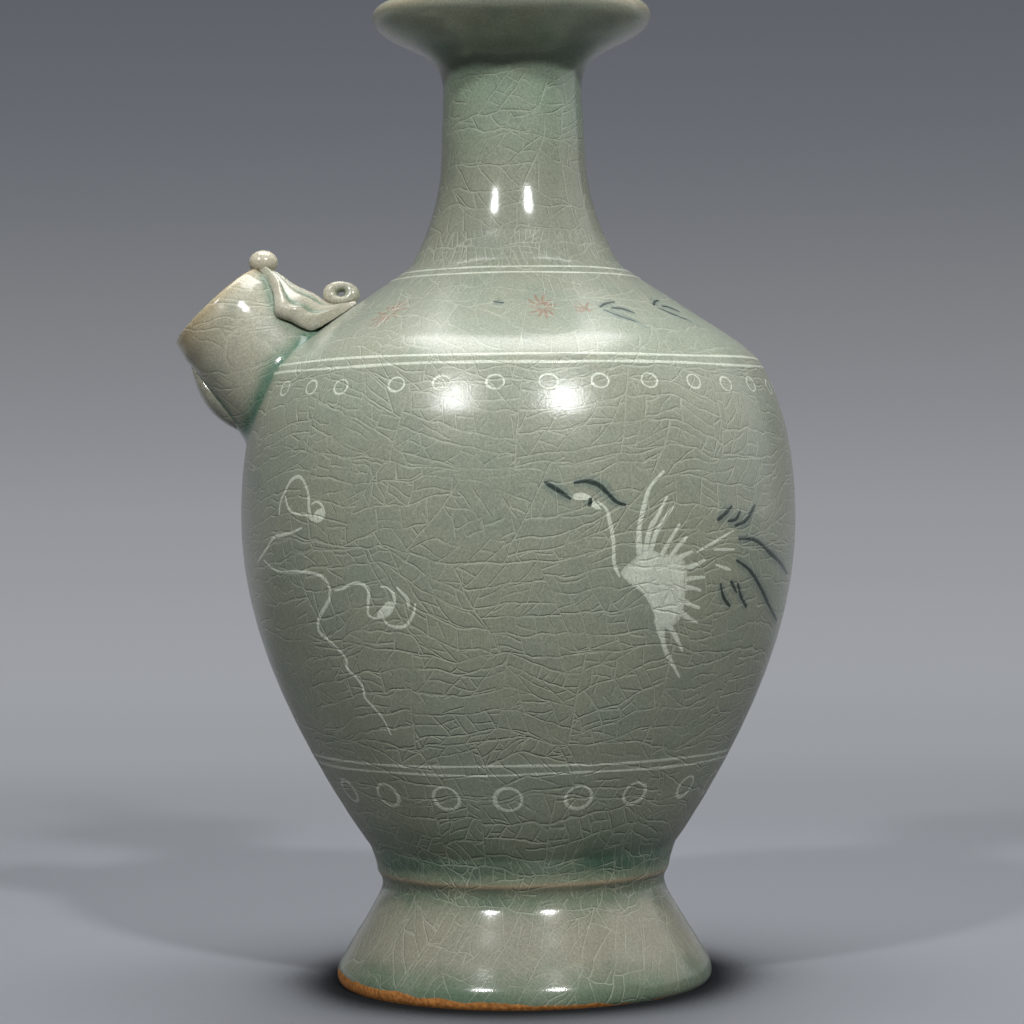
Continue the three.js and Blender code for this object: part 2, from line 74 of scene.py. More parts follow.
def srgb(red: int, green: int, blue: int) -> Colour:
    """Turns a colour as the eye sees it, 0 to 255, into the linear values that materials use.

    Args:
        red: red share.
        green: green share.
        blue: blue share.

    Returns:
        Linear red, green and blue, and an alpha of 1.
    """
    shares = np.array([red, green, blue]) / 255
    linear = np.where(shares <= 0.04045, shares / 12.92, ((shares + 0.055) / 1.055) ** 2.4)
    return (*[float(share) for share in linear], 1.0)


def bezier(start: tuple, leaving: tuple, end: tuple, arriving: tuple, count: int = 60) -> Array:
    """Cubic Bezier between two points of an outline.

    Args:
        start: first point, radius and height.
        leaving: step from the first point to its handle.
        end: last point.
        arriving: step from the last handle to the last point.
        count: how many points to return.

    Returns:
        Points along the curve, one row each.
    """
    share = np.linspace(0, 1, count)[:, None]
    first, last = np.array(start, float), np.array(end, float)
    out, into = first + np.array(leaving), last - np.array(arriving)
    rest = 1 - share
    return rest**3 * first + 3 * rest**2 * share * out + 3 * rest * share**2 * into + share**3 * last


def arc_lengths(points: Array) -> Array:
    """Distance along a line of points from its first point to each of them."""
    steps = np.linalg.norm(np.diff(points, axis=0), axis=1)
    return np.concatenate([[0.0], np.cumsum(steps)])


def through(points: list | Array, count: int, closed: bool = False) -> Array:
    """Smooth line through points: a cubic between each two, whose slope at a point follows its neighbours.

    Args:
        points: the points that the line passes.
        count: how many points to return, evenly spaced.
        closed: whether the line returns to its first point.

    Returns:
        Points along the line; a closed line doesn't repeat its first point.
    """
    knots = np.array(points, float)
    if closed:
        knots = np.concatenate([knots[-2:], knots, knots[:3]])
    along = arc_lengths(knots)
    slopes = np.gradient(knots, along, axis=0)
    low, high = (along[2], along[-3]) if closed else (along[0], along[-1])
    wanted = np.linspace(low, high, count, endpoint=not closed)
    right = np.clip(np.searchsorted(along, wanted, side="right"), 1, len(along) - 1)
    left = right - 1
    gap = (along[right] - along[left])[:, None]
    share = ((wanted - along[left])[:, None]) / gap
    return (
        (2 * share**3 - 3 * share**2 + 1) * knots[left]
        + (share**3 - 2 * share**2 + share) * gap * slopes[left]
        + (3 * share**2 - 2 * share**3) * knots[right]
        + (share**3 - share**2) * gap * slopes[right]
    )


def evenly(points: Array, spacing: float) -> Array:
    """Divides a line into equal steps.

    Args:
        points: the line.
        spacing: about how long a step is.

    Returns:
        The same line with a point at every step.
    """
    along = arc_lengths(points)
    count = max(int(round(along[-1] / spacing)) + 1, 2)
    wanted = np.linspace(0, along[-1], count)
    return np.stack([np.interp(wanted, along, column) for column in points.T], axis=1)


def softened(points: Array, reach: float, spacing: float = 0.2) -> Array:
    """Rounds a line's corners as a glaze does: each point becomes the bell-weighted mean of those near it.

    Args:
        points: the line.
        reach: standard deviation of the bell, in millimetres along the line.
        spacing: distance between the points that are returned.

    Returns:
        The rounded line; its two ends stay where they are.
    """
    line = evenly(points, spacing)
    half = int(math.ceil(3 * reach / spacing))
    weights = np.exp(-0.5 * (np.arange(-half, half + 1) * spacing / reach) ** 2)
    weights /= weights.sum()
    before = 2 * line[0] - line[half:0:-1]
    after = 2 * line[-1] - line[-2 : -half - 2 : -1]
    padded = np.concatenate([before, line, after])
    return np.stack([np.convolve(column, weights, mode="valid") for column in padded.T], axis=1)


def smooth_step(low: float, high: float, value: Array) -> Array:
    """0 below the low edge, 1 above the high edge and an S-shaped cubic between them."""
    share = np.clip((value - low) / (high - low), 0, 1)
    return share * share * (3 - 2 * share)


def bell(value: Array, width: float) -> Array:
    """1 where the value is 0, falling off as a bell to 0.37 at the given width."""
    return np.exp(-((value / width) ** 2))


def turns(count: int, shift: float = 0.0) -> Array:
    """Angles of even steps once round, the first one at a share of a step."""
    return (np.arange(count) + shift) * 2 * np.pi / count


def grid_faces(rows: int, columns: int, wrap_rows: bool, wrap_columns: bool) -> Array:
    """Four-sided faces over a grid of vertices that are numbered row by row.

    Args:
        rows: number of rows of vertices.
        columns: number of vertices in a row.
        wrap_rows: whether the last row joins the first.
        wrap_columns: whether the last column joins the first.

    Returns:
        Vertex numbers, one row of four for each face.
    """
    row = np.arange(rows if wrap_rows else rows - 1)[:, None]
    column = np.arange(columns if wrap_columns else columns - 1)[None, :]
    below, above = row % rows * columns, (row + 1) % rows * columns
    left, right = column % columns, (column + 1) % columns
    quads = [below + left, below + right, above + right, above + left]
    return np.stack([vertex.ravel() for vertex in quads], axis=1)


@dataclass
class Surface:
    """Vertices and faces of one piece, in millimetres, with any values that its glaze reads."""

    points: Array
    faces: Array
    values: dict[str, Array] = field(default_factory=dict)


def gridded(rows: Array, wrap_rows: bool = False) -> Surface:
    """Surface over rows of points whose last column joins the first."""
    return Surface(rows.reshape(-1, 3), grid_faces(rows.shape[0], rows.shape[1], wrap_rows, True))


def lofted(rings: Array) -> Surface:
    """Closed surface through rings of points, one ring a row; each end closes at its ring's middle."""
    ends = [np.broadcast_to(ring.mean(axis=0), ring.shape) for ring in (rings[0], rings[-1])]
    return gridded(np.concatenate([ends[:1], rings, ends[1:]]))


def joined(surfaces: list[Surface]) -> Surface:
    """Makes one surface of several; values that only some of them have are 0 on the others.

    Args:
        surfaces: the surfaces, in the order in which their points are numbered.

    Returns:
        The whole.
    """
    starts = np.cumsum([0] + [len(part.points) for part in surfaces[:-1]])
    values = {
        name: np.concatenate([part.values.get(name, np.zeros(len(part.points))) for part in surfaces])
        for name in sorted({name for part in surfaces for name in part.values})
    }
    faces = np.concatenate([part.faces + start for part, start in zip(surfaces, starts)])
    return Surface(np.concatenate([part.points for part in surfaces]), faces, values)


def mesh_of(name: str, surface: Surface, crease: float) -> bpy.types.Mesh:
    """Makes a smooth-shaded mesh with its faces outwards.

    Args:
        name: the mesh's name.
        surface: what to make it from.
        crease: angle in degrees past which an edge stays sharp.

    Returns:
        The mesh, in metres, with poles and doubled points merged.
    """
    mesh = bpy.data.meshes.new(name)
    mesh.from_pydata((surface.points * MM).tolist(), [], surface.faces.tolist())
    for label, numbers in surface.values.items():
        layer = mesh.attributes.new(label, "FLOAT", "POINT")
        layer.data.foreach_set("value", numbers.astype(np.float32))
    form = bmesh.new()
    form.from_mesh(mesh)
    bmesh.ops.remove_doubles(form, verts=form.verts, dist=2e-7)
    if form.calc_volume(signed=True) < 0:
        bmesh.ops.reverse_faces(form, faces=form.faces)
    form.to_mesh(mesh)
    form.free()
    mesh.shade_smooth()
    mesh.set_sharp_from_angle(angle=math.radians(crease))
    return mesh


def add_piece(
    name: str,
    surface: Surface,
    material: Material,
    nodes: tuple[str, ...] = (),
    crease: float = 40,
) -> bpy.types.Object:
    """Adds one piece to the scene, rides it on the pot and hides the CAD nodes that it replaces.

    Args:
        name: the piece's name.
        surface: its shape.
        material: its finish.
        nodes: CAD nodes that it replaces.
        crease: angle in degrees past which an edge stays sharp.

    Returns:
        The piece.
    """
    piece = bpy.data.objects.new(name, mesh_of(name, surface, crease))
    bpy.context.scene.collection.objects.link(piece)
    piece.data.materials.append(material)
    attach(piece, BODY)
    if nodes:
        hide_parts(*nodes)
    LOG.info("%s: %d faces", name, len(piece.data.polygons))
    return piece


class Sketch:
    """A material's node tree, with short calls for the nodes that the finishes use."""

    def __init__(self, name: str) -> None:
        """Starts an empty tree with its shader and output.

        Args:
            name: the material's name.
        """
        self.material = bpy.data.materials.new(name)
        self.material.use_nodes = True
        self.tree = self.material.node_tree
        self.tree.nodes.clear()
        self.shader = self.tree.nodes.new("ShaderNodeBsdfPrincipled")
        self.output = self.tree.nodes.new("ShaderNodeOutputMaterial")
        self.put(self.output.inputs["Surface"], self.shader.outputs["BSDF"])

    def put(self, socket: Socket, value: object) -> None:
        """Links a socket to another one, or sets its value.

        Args:
            socket: the input.
            value: a socket, number, colour or vector for it.
        """
        if isinstance(value, Socket):
            self.tree.links.new(value, socket)
        else:
            socket.default_value = value

    def shade(self, **values: object) -> None:
        """Gives the shader's inputs their values, each named with _ for its spaces."""
        for label, value in values.items():
            self.put(self.shader.inputs[label.replace("_", " ")], value)

    def add(self, kind: str, inputs: dict, **settings: object) -> bpy.types.Node:
        """Adds a node.

        Args:
            kind: the node's type.
            inputs: value or socket for each input, by name or number.
            settings: the node's own properties.

        Returns:
            The node.
        """
        node = self.tree.nodes.new(kind)
        for label, setting in settings.items():
            setattr(node, label, setting)
        for label, value in inputs.items():
            self.put(node.inputs[label], value)
        return node

    def math(self, operation: str, first: object, second: object = 0.0, third: object = 0.0) -> Socket:
        """Result of a Math node."""
        return self.add("ShaderNodeMath", {0: first, 1: second, 2: third}, operation=operation).outputs[0]

    def vector(self, operation: str, first: object, second: object) -> Socket:
        """Result of a Vector Math node."""
        return self.add("ShaderNodeVectorMath", {0: first, 1: second}, operation=operation).outputs[0]

    def split(self, place: Socket) -> list[Socket]:
        """A place's distances along the three axes."""
        parts = self.add("ShaderNodeSeparateXYZ", {0: place}).outputs
        return [parts[axis] for axis in "XYZ"]

    def mix(self, share: object, first: object, second: object, way: str = "MIX") -> Socket:
        """Colour between two colours."""
        inputs = {0: share, 6: first, 7: second}
        return self.add("ShaderNodeMix", inputs, data_type="RGBA", blend_type=way).outputs[2]

    def attribute(self, name: str) -> Socket:
        """The mesh's own value of this name, 0 where it has none."""
        return self.add("ShaderNodeAttribute", {}, attribute_name=name).outputs["Fac"]

    def noise(self, place: Socket, size: float, detail: float = 2.0, output: str = "Fac") -> Socket:
        """Noise with waves of about the given size in millimetres."""
        inputs = {"Vector": place, "Scale": 1 / size, "Detail": detail}
        return self.add("ShaderNodeTexNoise", inputs).outputs[output]

    def strips(self, along: Socket, feature: str, output: str) -> Socket:
        """One-way Voronoi pattern, whose strips are about 1 wide."""
        settings = {"feature": feature, "voronoi_dimensions": "1D"}
        return self.add("ShaderNodeTexVoronoi", {"W": along, "Scale": 1.0}, **settings).outputs[output]

    def fade(
        self, value: Socket, low: float, high: float, first: float = 0.0, last: float = 1.0
    ) -> Socket:
        """S-shaped change from the first to the last number while the value goes from low to high.

        Args:
            value: the value.
            low: the value at which the change begins.
            high: the value at which it ends.
            first: result below low.
            last: result above high.

        Returns:
            The changing number.
        """
        node = self.add(
            "ShaderNodeMapRange",
            {"Value": value, "From Min": low, "From Max": high, "To Min": first, "To Max": last},
            interpolation_type="SMOOTHSTEP",
        )
        return node.outputs[0]

    def ramp(self, value: Socket, stops: tuple[tuple[float, Colour], ...], reach: float) -> Socket:
        """Colour that changes along a value.

        Args:
            value: the value, from 0 to reach.
            stops: where each colour stands, and the colour.
            reach: the value at the ramp's end.

        Returns:
            The colour.
        """
        node = self.add("ShaderNodeValToRGB", {"Fac": self.math("DIVIDE", value, reach)})
        marks = node.color_ramp.elements
        while len(marks) < len(stops):
            marks.new(1.0)
        for mark, (place, colour) in zip(marks, stops):
            mark.position = place / reach
            mark.color = colour
        return node.outputs["Color"]


class Cracks(Enum):
    """How a stretch of glaze has crazed, in millimetres.

    The numbers are the height and width of the blocks that the first cracks cut, the height between two
    cracks across a block, the width between the cracks that join them, the height between the splits of a
    patch, the width between the last, finest ones, and the radius of the pot at which the widths are true.
    """

    WALL = (21.0, 24.0, 5.6, 6.0, 3.6, 4.4, 66.0)
    NECK = (24.0, 30.0, 8.0, 7.5, 5.0, 5.5, 23.0)
    FOOT = (40.0, 11.0, 15.0, 4.8, 8.0, 3.6, 45.0)
    SPOUT = (22.0, 26.0, 7.5, 8.0, 4.6, 5.0, 62.0)


@dataclass(frozen=True)
class Glaze:
    """Clear celadon glaze over clay or slip: colour by height, pools, thin places, crackle and gloss.

    The bands are the glaze's colour at heights over the resting plane. Each pair in bends is how far apart
    the bends of a crack are, and twice how far they reach.
    """

    name: str
    bands: tuple[tuple[float, Colour], ...]
    cracks: Cracks = Cracks.WALL
    axis: float = 0.0
    reach: float = 340.0
    flow: float = 7.0
    mottle: Colour = srgb(146, 143, 122)
    mottle_share: float = 0.3
    haze: Colour = srgb(116, 130, 118)
    haze_share: float = 0.28
    pool: Colour = srgb(64, 102, 83)
    thin: Colour = srgb(158, 142, 116)
    grain_size: float = 0.5
    grain_shade: float = 0.22
    bends: tuple[tuple[float, float], ...] = ((58, 20), (15, 6.5), (3.4, 1.3))
    bend_rise: float = 0.55
    bend_sideways: float = 0.7
    crack: Colour = srgb(190, 194, 176)
    crack_strength: float = 0.46
    crack_width: float = 0.21
    groove_width: float = 0.46
    groove: float = 0.145
    dimple: float = 0.05
    calm_from: float = 400.0
    slip: Colour | None = None
    slip_cover: float = 0.85
    clay: Colour | None = None
    grit: Colour = srgb(188, 128, 70)
    bare_height: float = 1.2
    bare_tilt: float = -0.046
    roughness: float = 0.23
    gloss_index: float = 1.43

    def drift(self, sketch: Sketch, place: Socket, size: float, amount: float) -> Socket:
        """A slow random shift of the place, by up to about half the amount each way.

        Args:
            sketch: the material's nodes.
            place: the place, in millimetres.
            size: how far apart the bends are.
            amount: twice how far they reach up and down.

        Returns:
            The shift.
        """
        tall = sketch.vector("MULTIPLY", place, (1.0, 1.0, self.bend_rise))
        spread = sketch.vector("SUBTRACT", sketch.noise(tall, size, 1.0, "Color"), (0.5, 0.5, 0.5))
        return sketch.vector("MULTIPLY", spread, (self.bend_sideways * amount, amount, amount))

    def crackle(self, sketch: Sketch, place: Socket) -> tuple[Socket, Socket]:
        """Draws the crackle.

        The first cracks cut the glaze into blocks. Cracks at a slant of their own cross each block, others
        join two of those, and a patch may split twice more, so each crack ends on an older one. Each line of
        the plan gives the direction that such cracks divide, the other direction, the gap between two of
        them, their slant, how rarely one is missing, what their gap shrinks with, and their strength.

        Args:
            sketch: the material's nodes.
            place: the place, in millimetres from the foot's middle.

        Returns:
            Crack lines and the wider grooves that they lie in, 1 in their middle and 0 beside them.
        """
        x, y, z = sketch.split(place)
        block_height, block_width, long_gap, joint_gap, split_gap, last_gap, span = self.cracks.value
        turn = sketch.math("ARCTAN2", x, sketch.math("MULTIPLY", y, -1.0))
        square = sketch.math("MULTIPLY_ADD", x, x, sketch.math("MULTIPLY", y, y))
        narrowing = sketch.math("DIVIDE", sketch.math("SQRT", square), span)
        wander: object = (0.0, 0.0, 0.0)
        for size, amount in self.bends:
            wander = sketch.vector("ADD", wander, self.drift(sketch, place, size, amount))
        sideways, _, upwards = sketch.split(wander)
        across = sketch.math("MULTIPLY_ADD", turn, span, sideways)
        height = sketch.math("ADD", z, upwards)
        line: object = 0.0
        furrow: object = 0.0
        seed: object = 0.0
        plan = (
            (height, across, block_height, 0.0, 0.0, 1.0, 1.0),
            (across, height, block_width, 1.6, 0.0, narrowing, 1.0),
            (height, across, long_gap, 0.8, 0.03, 1.0, 1.0),
            (across, height, joint_gap, 2.4, 0.08, narrowing, 1.0),
            (height, across, split_gap, 1.0, 0.42, 1.0, 0.8),
            (across, height, last_gap, 2.0, 0.55, narrowing, 0.65),
        )
        for main, side, gap, slant, rarity, scale, strength in plan:
            chance = sketch.add("ShaderNodeTexWhiteNoise", {"W": seed}, noise_dimensions="1D")
            dice = sketch.add("ShaderNodeSeparateColor", {0: chance.outputs["Color"]}).outputs
            lean = sketch.math("MULTIPLY", sketch.math("SUBTRACT", dice["Red"], 0.5), slant)
            along = sketch.math("DIVIDE", sketch.math("MULTIPLY_ADD", side, lean, main), gap)
            along = sketch.math("MULTIPLY_ADD", dice["Green"], 57.0, along)
            edge = sketch.strips(along, "DISTANCE_TO_EDGE", "Distance")
            reach = sketch.math("MULTIPLY", sketch.math("MULTIPLY", edge, gap), scale)
            weight = sketch.math("MULTIPLY", sketch.math("GREATER_THAN", dice["Blue"], rarity), strength)
            thin = sketch.math("MULTIPLY", sketch.fade(reach, 0.0, self.crack_width, 1.0, 0.0), weight)
            wide = sketch.math("MULTIPLY", sketch.fade(reach, 0.0, self.groove_width, 1.0, 0.0), weight)
            line = sketch.math("MAXIMUM", line, thin)
            furrow = sketch.math("MAXIMUM", furrow, wide)
            seed = sketch.math("MULTIPLY_ADD", seed, 3.71, sketch.strips(along, "F1", "W"))
        presence = sketch.fade(sketch.noise(place, 7.0), 0.32, 0.6, 0.3, 1.0)
        calm = sketch.fade(z, self.calm_from, self.calm_from + 9.0, 1.0, 0.08)
        presence = sketch.math("MULTIPLY", presence, calm)
        return sketch.math("MULTIPLY", line, presence), sketch.math("MULTIPLY", furrow, presence)

    def tint(self, sketch: Sketch, place: Socket, height: Socket) -> Socket:
        """Colour of the glaze without its cracks.

        Args:
            sketch: the material's nodes.
            place: the place, in millimetres from the foot's middle.
            height: its height.

        Returns:
            The colour: the band at a wavering height, mottled and hazed, then thin places, pools and slip.
        """
        flow = sketch.math("SUBTRACT", sketch.noise(place, 7.0, 3.0), 0.5)
        level = sketch.math("ADD", height, sketch.math("MULTIPLY", flow, self.flow))
        colour = sketch.ramp(level, self.bands, self.reach)
        mottle = sketch.fade(sketch.noise(place, 24.0, 3.0), 0.36, 0.66)
        colour = sketch.mix(sketch.math("MULTIPLY", mottle, self.mottle_share), colour, self.mottle)
        haze = sketch.fade(sketch.noise(place, 13.0), 0.52, 0.72)
        colour = sketch.mix(sketch.math("MULTIPLY", haze, self.haze_share), colour, self.haze)
        colour = sketch.mix(sketch.attribute("thin"), colour, self.thin)
        pool = sketch.math("MULTIPLY", sketch.attribute("pool"), sketch.math("MULTIPLY_ADD", flow, 1.2, 1.0))
        colour = sketch.mix(sketch.math("MINIMUM", pool, 0.92), colour, self.pool)
        if self.slip:
            cover = sketch.math("MULTIPLY", sketch.attribute("cover"), self.slip_cover)
            colour = sketch.mix(cover, colour, self.slip)
        return colour

    def material(self) -> Material:
        """Builds the finish.

        Returns:
            A dull under-layer with cracks and grooves, and a glossy coat with fine dimples over it.
        """
        sketch = Sketch(self.name)
        shared = sketch.add("ShaderNodeTexCoord", {}).outputs["Object"]
        centred = sketch.vector("SUBTRACT", shared, (self.axis * MM, 0.0, 0.0))
        place = sketch.vector("MULTIPLY", centred, (1 / MM, 1 / MM, 1 / MM))
        height = sketch.split(place)[2]
        grain = sketch.noise(place, self.grain_size, 3.0)
        shade = sketch.fade(grain, 0.2, 0.8, 1 - self.grain_shade, 1 + self.grain_shade)
        grey = sketch.add("ShaderNodeCombineColor", {0: shade, 1: shade, 2: shade}).outputs[0]
        colour = sketch.mix(1.0, self.tint(sketch, place, height), grey, "MULTIPLY")
        cracks, furrows = self.crackle(sketch, place)
        colour = sketch.mix(sketch.math("MULTIPLY", cracks, self.crack_strength), colour, self.crack)
        glazed: object = 1.0
        if self.clay:
            bare = self.bare_edge(sketch, place)
            grit = sketch.fade(sketch.noise(place, 1.1, 4.0), 0.3, 0.7)
            colour = sketch.mix(bare, colour, sketch.mix(grit, self.clay, self.grit))
            glazed = sketch.math("SUBTRACT", 1.0, bare)
            furrows = sketch.math("MULTIPLY", furrows, glazed)
        bump = {"Height": furrows, "Distance": self.groove * MM, "Strength": 1.0}
        groove = sketch.add("ShaderNodeBump", bump, invert=True).outputs[0]
        depth = sketch.fade(height, 160.0, 168.0, self.dimple * MM, 0.25 * self.dimple * MM)
        skin = sketch.add("ShaderNodeBump", {"Height": grain, "Distance": depth, "Strength": 1.0}).outputs[0]
        sketch.shade(Base_Color=colour, Normal=groove, Roughness=0.5, Specular_IOR_Level=0.1)
        sketch.shade(
            Coat_Weight=glazed, Coat_Normal=skin, Coat_Roughness=self.roughness, Coat_IOR=self.gloss_index
        )
        return sketch.material

    def bare_edge(self, sketch: Sketch, place: Socket) -> Socket:
        """Where the foot's edge has no glaze: below a wavering line that is higher at the left.

        Args:
            sketch: the material's nodes.
            place: the place, in millimetres from the foot's middle.

        Returns:
            1 on bare clay and 0 on glaze.
        """
        x, _, z = sketch.split(place)
        side = sketch.math("MULTIPLY_ADD", x, self.bare_tilt, self.bare_height)
        waver = sketch.math("MULTIPLY_ADD", sketch.noise(place, 9.0, 3.0), 3.0, -1.1)
        line = sketch.math("ADD", waver, side)
        return sketch.fade(sketch.math("SUBTRACT", z, line), -0.12, 0.12, 1.0, 0.0)


@dataclass
class ThrownForm:
    """The pot's outline from the foot's edge to the crown of the flange, and its inner walls.

    Places of the outline are a radius and a height. A pull is the length of a curve's handle.
    """

    axis: float
    skirt: Line = (
        (50.0, 0.0), (50.6, 0.5), (50.85, 1.5), (50.88, 2.6), (50.75, 3.8), (50.35, 5.0), (48.75, 7.6),
        (46.75, 10.9), (44.7, 14.1), (42.7, 17.4), (40.75, 20.7), (39.0, 23.9), (38.2, 26.6), (38.5, 28.3),
        (39.0, 29.2), (39.75, 29.9), (39.7, 30.8), (39.9, 32.2), (40.7, 34.6),
    )
    collar_radius: float = 41.5
    collar_height: float = 37.0
    belly_radius: float = 75.0
    belly_height: float = 125.0
    belly_fullness: float = 0.93
    shoulder_fullness: float = 35.5
    corner: tuple[float, float, float] = (165.2, 0.5, 3.2)
    slope_top: tuple[float, float] = (59.2, 172.0)
    slope_pull: float = 4.0
    neck_root: tuple[float, float] = (29.4, 192.0)
    root_pull: float = 2.2
    neck: tuple[float, float] = (19.7, 223.0)
    neck_pull: float = 14.6
    neck_top: tuple[float, float] = (18.9, 240.0)
    top_pull: float = 8.4
    flare_end: tuple[float, float] = (30.7, 253.6)
    flare_slope: float = 25.0
    flare_pulls: tuple[float, float] = (7.9, 5.5)
    lip: tuple[float, float] = (37.95, 259.94)
    lip_pull: float = 1.9
    lip_top: tuple[float, float] = (35.3, 263.15)
    crown: tuple[float, float] = (13.4, 269.15)
    crown_pull: tuple[float, float] = (-7.2, 1.2)
    softness: float = 0.75
    body_wall: float = 5.0
    unevenness: float = 0.12
    ring_pitch: float = 8.3
    row_spacing: float = 0.9
    turn_density: float = 20.0
    sides: int = 320
    outline: Array = field(init=False)
    arcs: Array = field(init=False)
    normals: Array = field(init=False)

    def __post_init__(self) -> None:
        """Works out the outline, the distance along it and its outward directions."""
        rise = np.linspace(0, 1, 120)
        swell = np.sin(rise * np.pi / 2) ** self.belly_fullness
        bowl_radius = self.collar_radius + (self.belly_radius - self.collar_radius) * swell
        bowl_height = self.collar_height + rise * (self.belly_height - self.collar_height)
        slope = np.array(self.neck_root) - np.array(self.slope_top)
        slope = slope / np.linalg.norm(slope)
        flare = np.array([math.cos(math.radians(self.flare_slope)), math.sin(math.radians(self.flare_slope))])
        arriving, leaving = self.flare_pulls[0] * flare, self.flare_pulls[1] * flare
        belly, upright = (self.belly_radius, self.belly_height), (0, self.lip_pull)
        line = np.concatenate([
            self.skirt,
            np.stack([bowl_radius, bowl_height], axis=1),
            bezier(belly, (0, self.shoulder_fullness), self.slope_top, self.slope_pull * slope),
            bezier(self.neck_root, self.root_pull * slope, self.neck, (0, self.neck_pull)),
            bezier(self.neck_top, (0, self.top_pull), self.flare_end, arriving),
            bezier(self.flare_end, leaving, self.lip, upright)[1:],
            bezier(self.lip, upright, self.lip_top, (-1, 0.1))[1:],
            bezier(self.lip_top, self.crown_pull, self.crown, self.crown_pull)[1:],
        ])
        corner_height, corner_swell, corner_reach = self.corner
        line[:, 0] += corner_swell * bell(line[:, 1] - corner_height, corner_reach)
        keep = np.concatenate([[True], np.linalg.norm(np.diff(line, axis=0), axis=1) > 1e-6])
        self.outline = softened(line[keep], self.softness)
        self.arcs = arc_lengths(self.outline)
        tangents = np.gradient(self.outline, self.arcs, axis=0)
        tangents /= np.linalg.norm(tangents, axis=1)[:, None]
        self.normals = np.stack([tangents[:, 1], -tangents[:, 0]], axis=1)

    def arc_at(self, height: float | Array) -> float | Array:
        """Distance along the outline at a height."""
        rising = np.maximum.accumulate(self.outline[:, 1] + self.arcs * 1e-7)
        return np.interp(height, rising, self.arcs)

    def at(self, arc: float | Array) -> list[Array]:
        """Radius, height and the outward direction's two parts at a distance along the outline."""
        return [np.interp(arc, self.arcs, column) for column in (*self.outline.T, *self.normals.T)]

    def radius_of(self, points: Array) -> Array:
        """Distance from points to the pot's axis."""
        return np.hypot(points[..., 0] - self.axis, points[..., 1])

    def about_axis(self, radius: Array, angle: Array, height: Array) -> Array:
        """Points at a radius, an angle (0 at the front and growing to the right) and a height."""
        x, y = self.axis + radius * np.sin(angle), -radius * np.cos(angle)
        return np.stack(np.broadcast_arrays(x, y, height), axis=-1)

    def uneven(self, angle: Array, height: Array) -> Array:
        """Adds up a slow oval, a wave that goes round three times and the throwing rings.

        Args:
            angle: angle about the pot's axis.
            height: height over the resting plane.

        Returns:
            How far the skin lies from the true turned form, below 0 for inside it.
        """
        share = 0.42 * np.cos(2 * angle + 0.6)
        share = share + 0.25 * np.sin(3 * angle + height / 19)
        share = share + 0.2 * np.sin(TURN * height / self.ring_pitch + angle)
        return self.unevenness * (share - 1.0)

    def skin(self, angle: Array, arc: Array, lift: float | Array = 0.0) -> Array:
        """Points on the outer skin.

        Args:
            angle: angle about the pot's axis.
            arc: distance along the outline from the foot's edge.
            lift: height over the skin.

        Returns:
            Points in the part's frame, in millimetres.
        """
        radius, height, out, up = self.at(arc)
        reach = radius + self.uneven(angle, height) + lift * out
        return self.about_axis(reach, angle, height + lift * up)

    def between(self, low: float, high: float) -> Array:
        """Divides the outline between two heights into rows, closer together the more it turns.

        Args:
            low: lower height.
            high: upper height.

        Returns:
            The rows' distances along the outline.
        """
        start, end = float(self.arc_at(low)), float(self.arc_at(high))
        inside = (self.arcs > start) & (self.arcs < end)
        arcs = np.concatenate([[start], self.arcs[inside], [end]])
        turn = np.linalg.norm(np.gradient(self.normals, self.arcs, axis=0), axis=1)
        density = 1 + self.turn_density * np.interp(arcs, self.arcs, turn)
        weight = np.concatenate([[0.0], np.cumsum(np.diff(arcs) * (density[1:] + density[:-1]) / 2)])
        count = max(int(round(weight[-1] / self.row_spacing)), 6)
        return np.interp(np.linspace(0, weight[-1], count), weight, arcs)

    def inner_wall(self, low: float, high: float, count: int) -> Array:
        """Inner outline between two heights of the outer one, one wall further in, from top to bottom."""
        radius, height, out, up = self.at(np.linspace(self.arc_at(high), self.arc_at(low), count))
        return np.stack([radius - self.body_wall * out, height - self.body_wall * up], axis=1)

    def turned(self, profile: Array | Line) -> Array:
        """Rows of points where a profile of radius and height turns truly about the pot's axis."""
        line = np.array(profile)
        return self.about_axis(line[:, :1], turns(self.sides), line[:, 1:])

    def section(self, low: float, high: float, inside: Array | Line, under: Line = ()) -> Surface:
        """One thrown section: the skin between two heights, closed by an inner profile.

        Args:
            low: height of the section's lower end.
            high: height of its upper end.
            inside: inner profile, radius and height, from the upper end to the lower one or to the axis.
            under: profile from the axis to the lower end, where the inner one ends on the axis.

        Returns:
            The closed section.
        """
        rows = [self.skin(turns(self.sides), self.between(low, high)[:, None]), self.turned(inside)]
        if under:
            rows.insert(0, self.turned(under))
        return gridded(np.concatenate(rows), wrap_rows=not under)


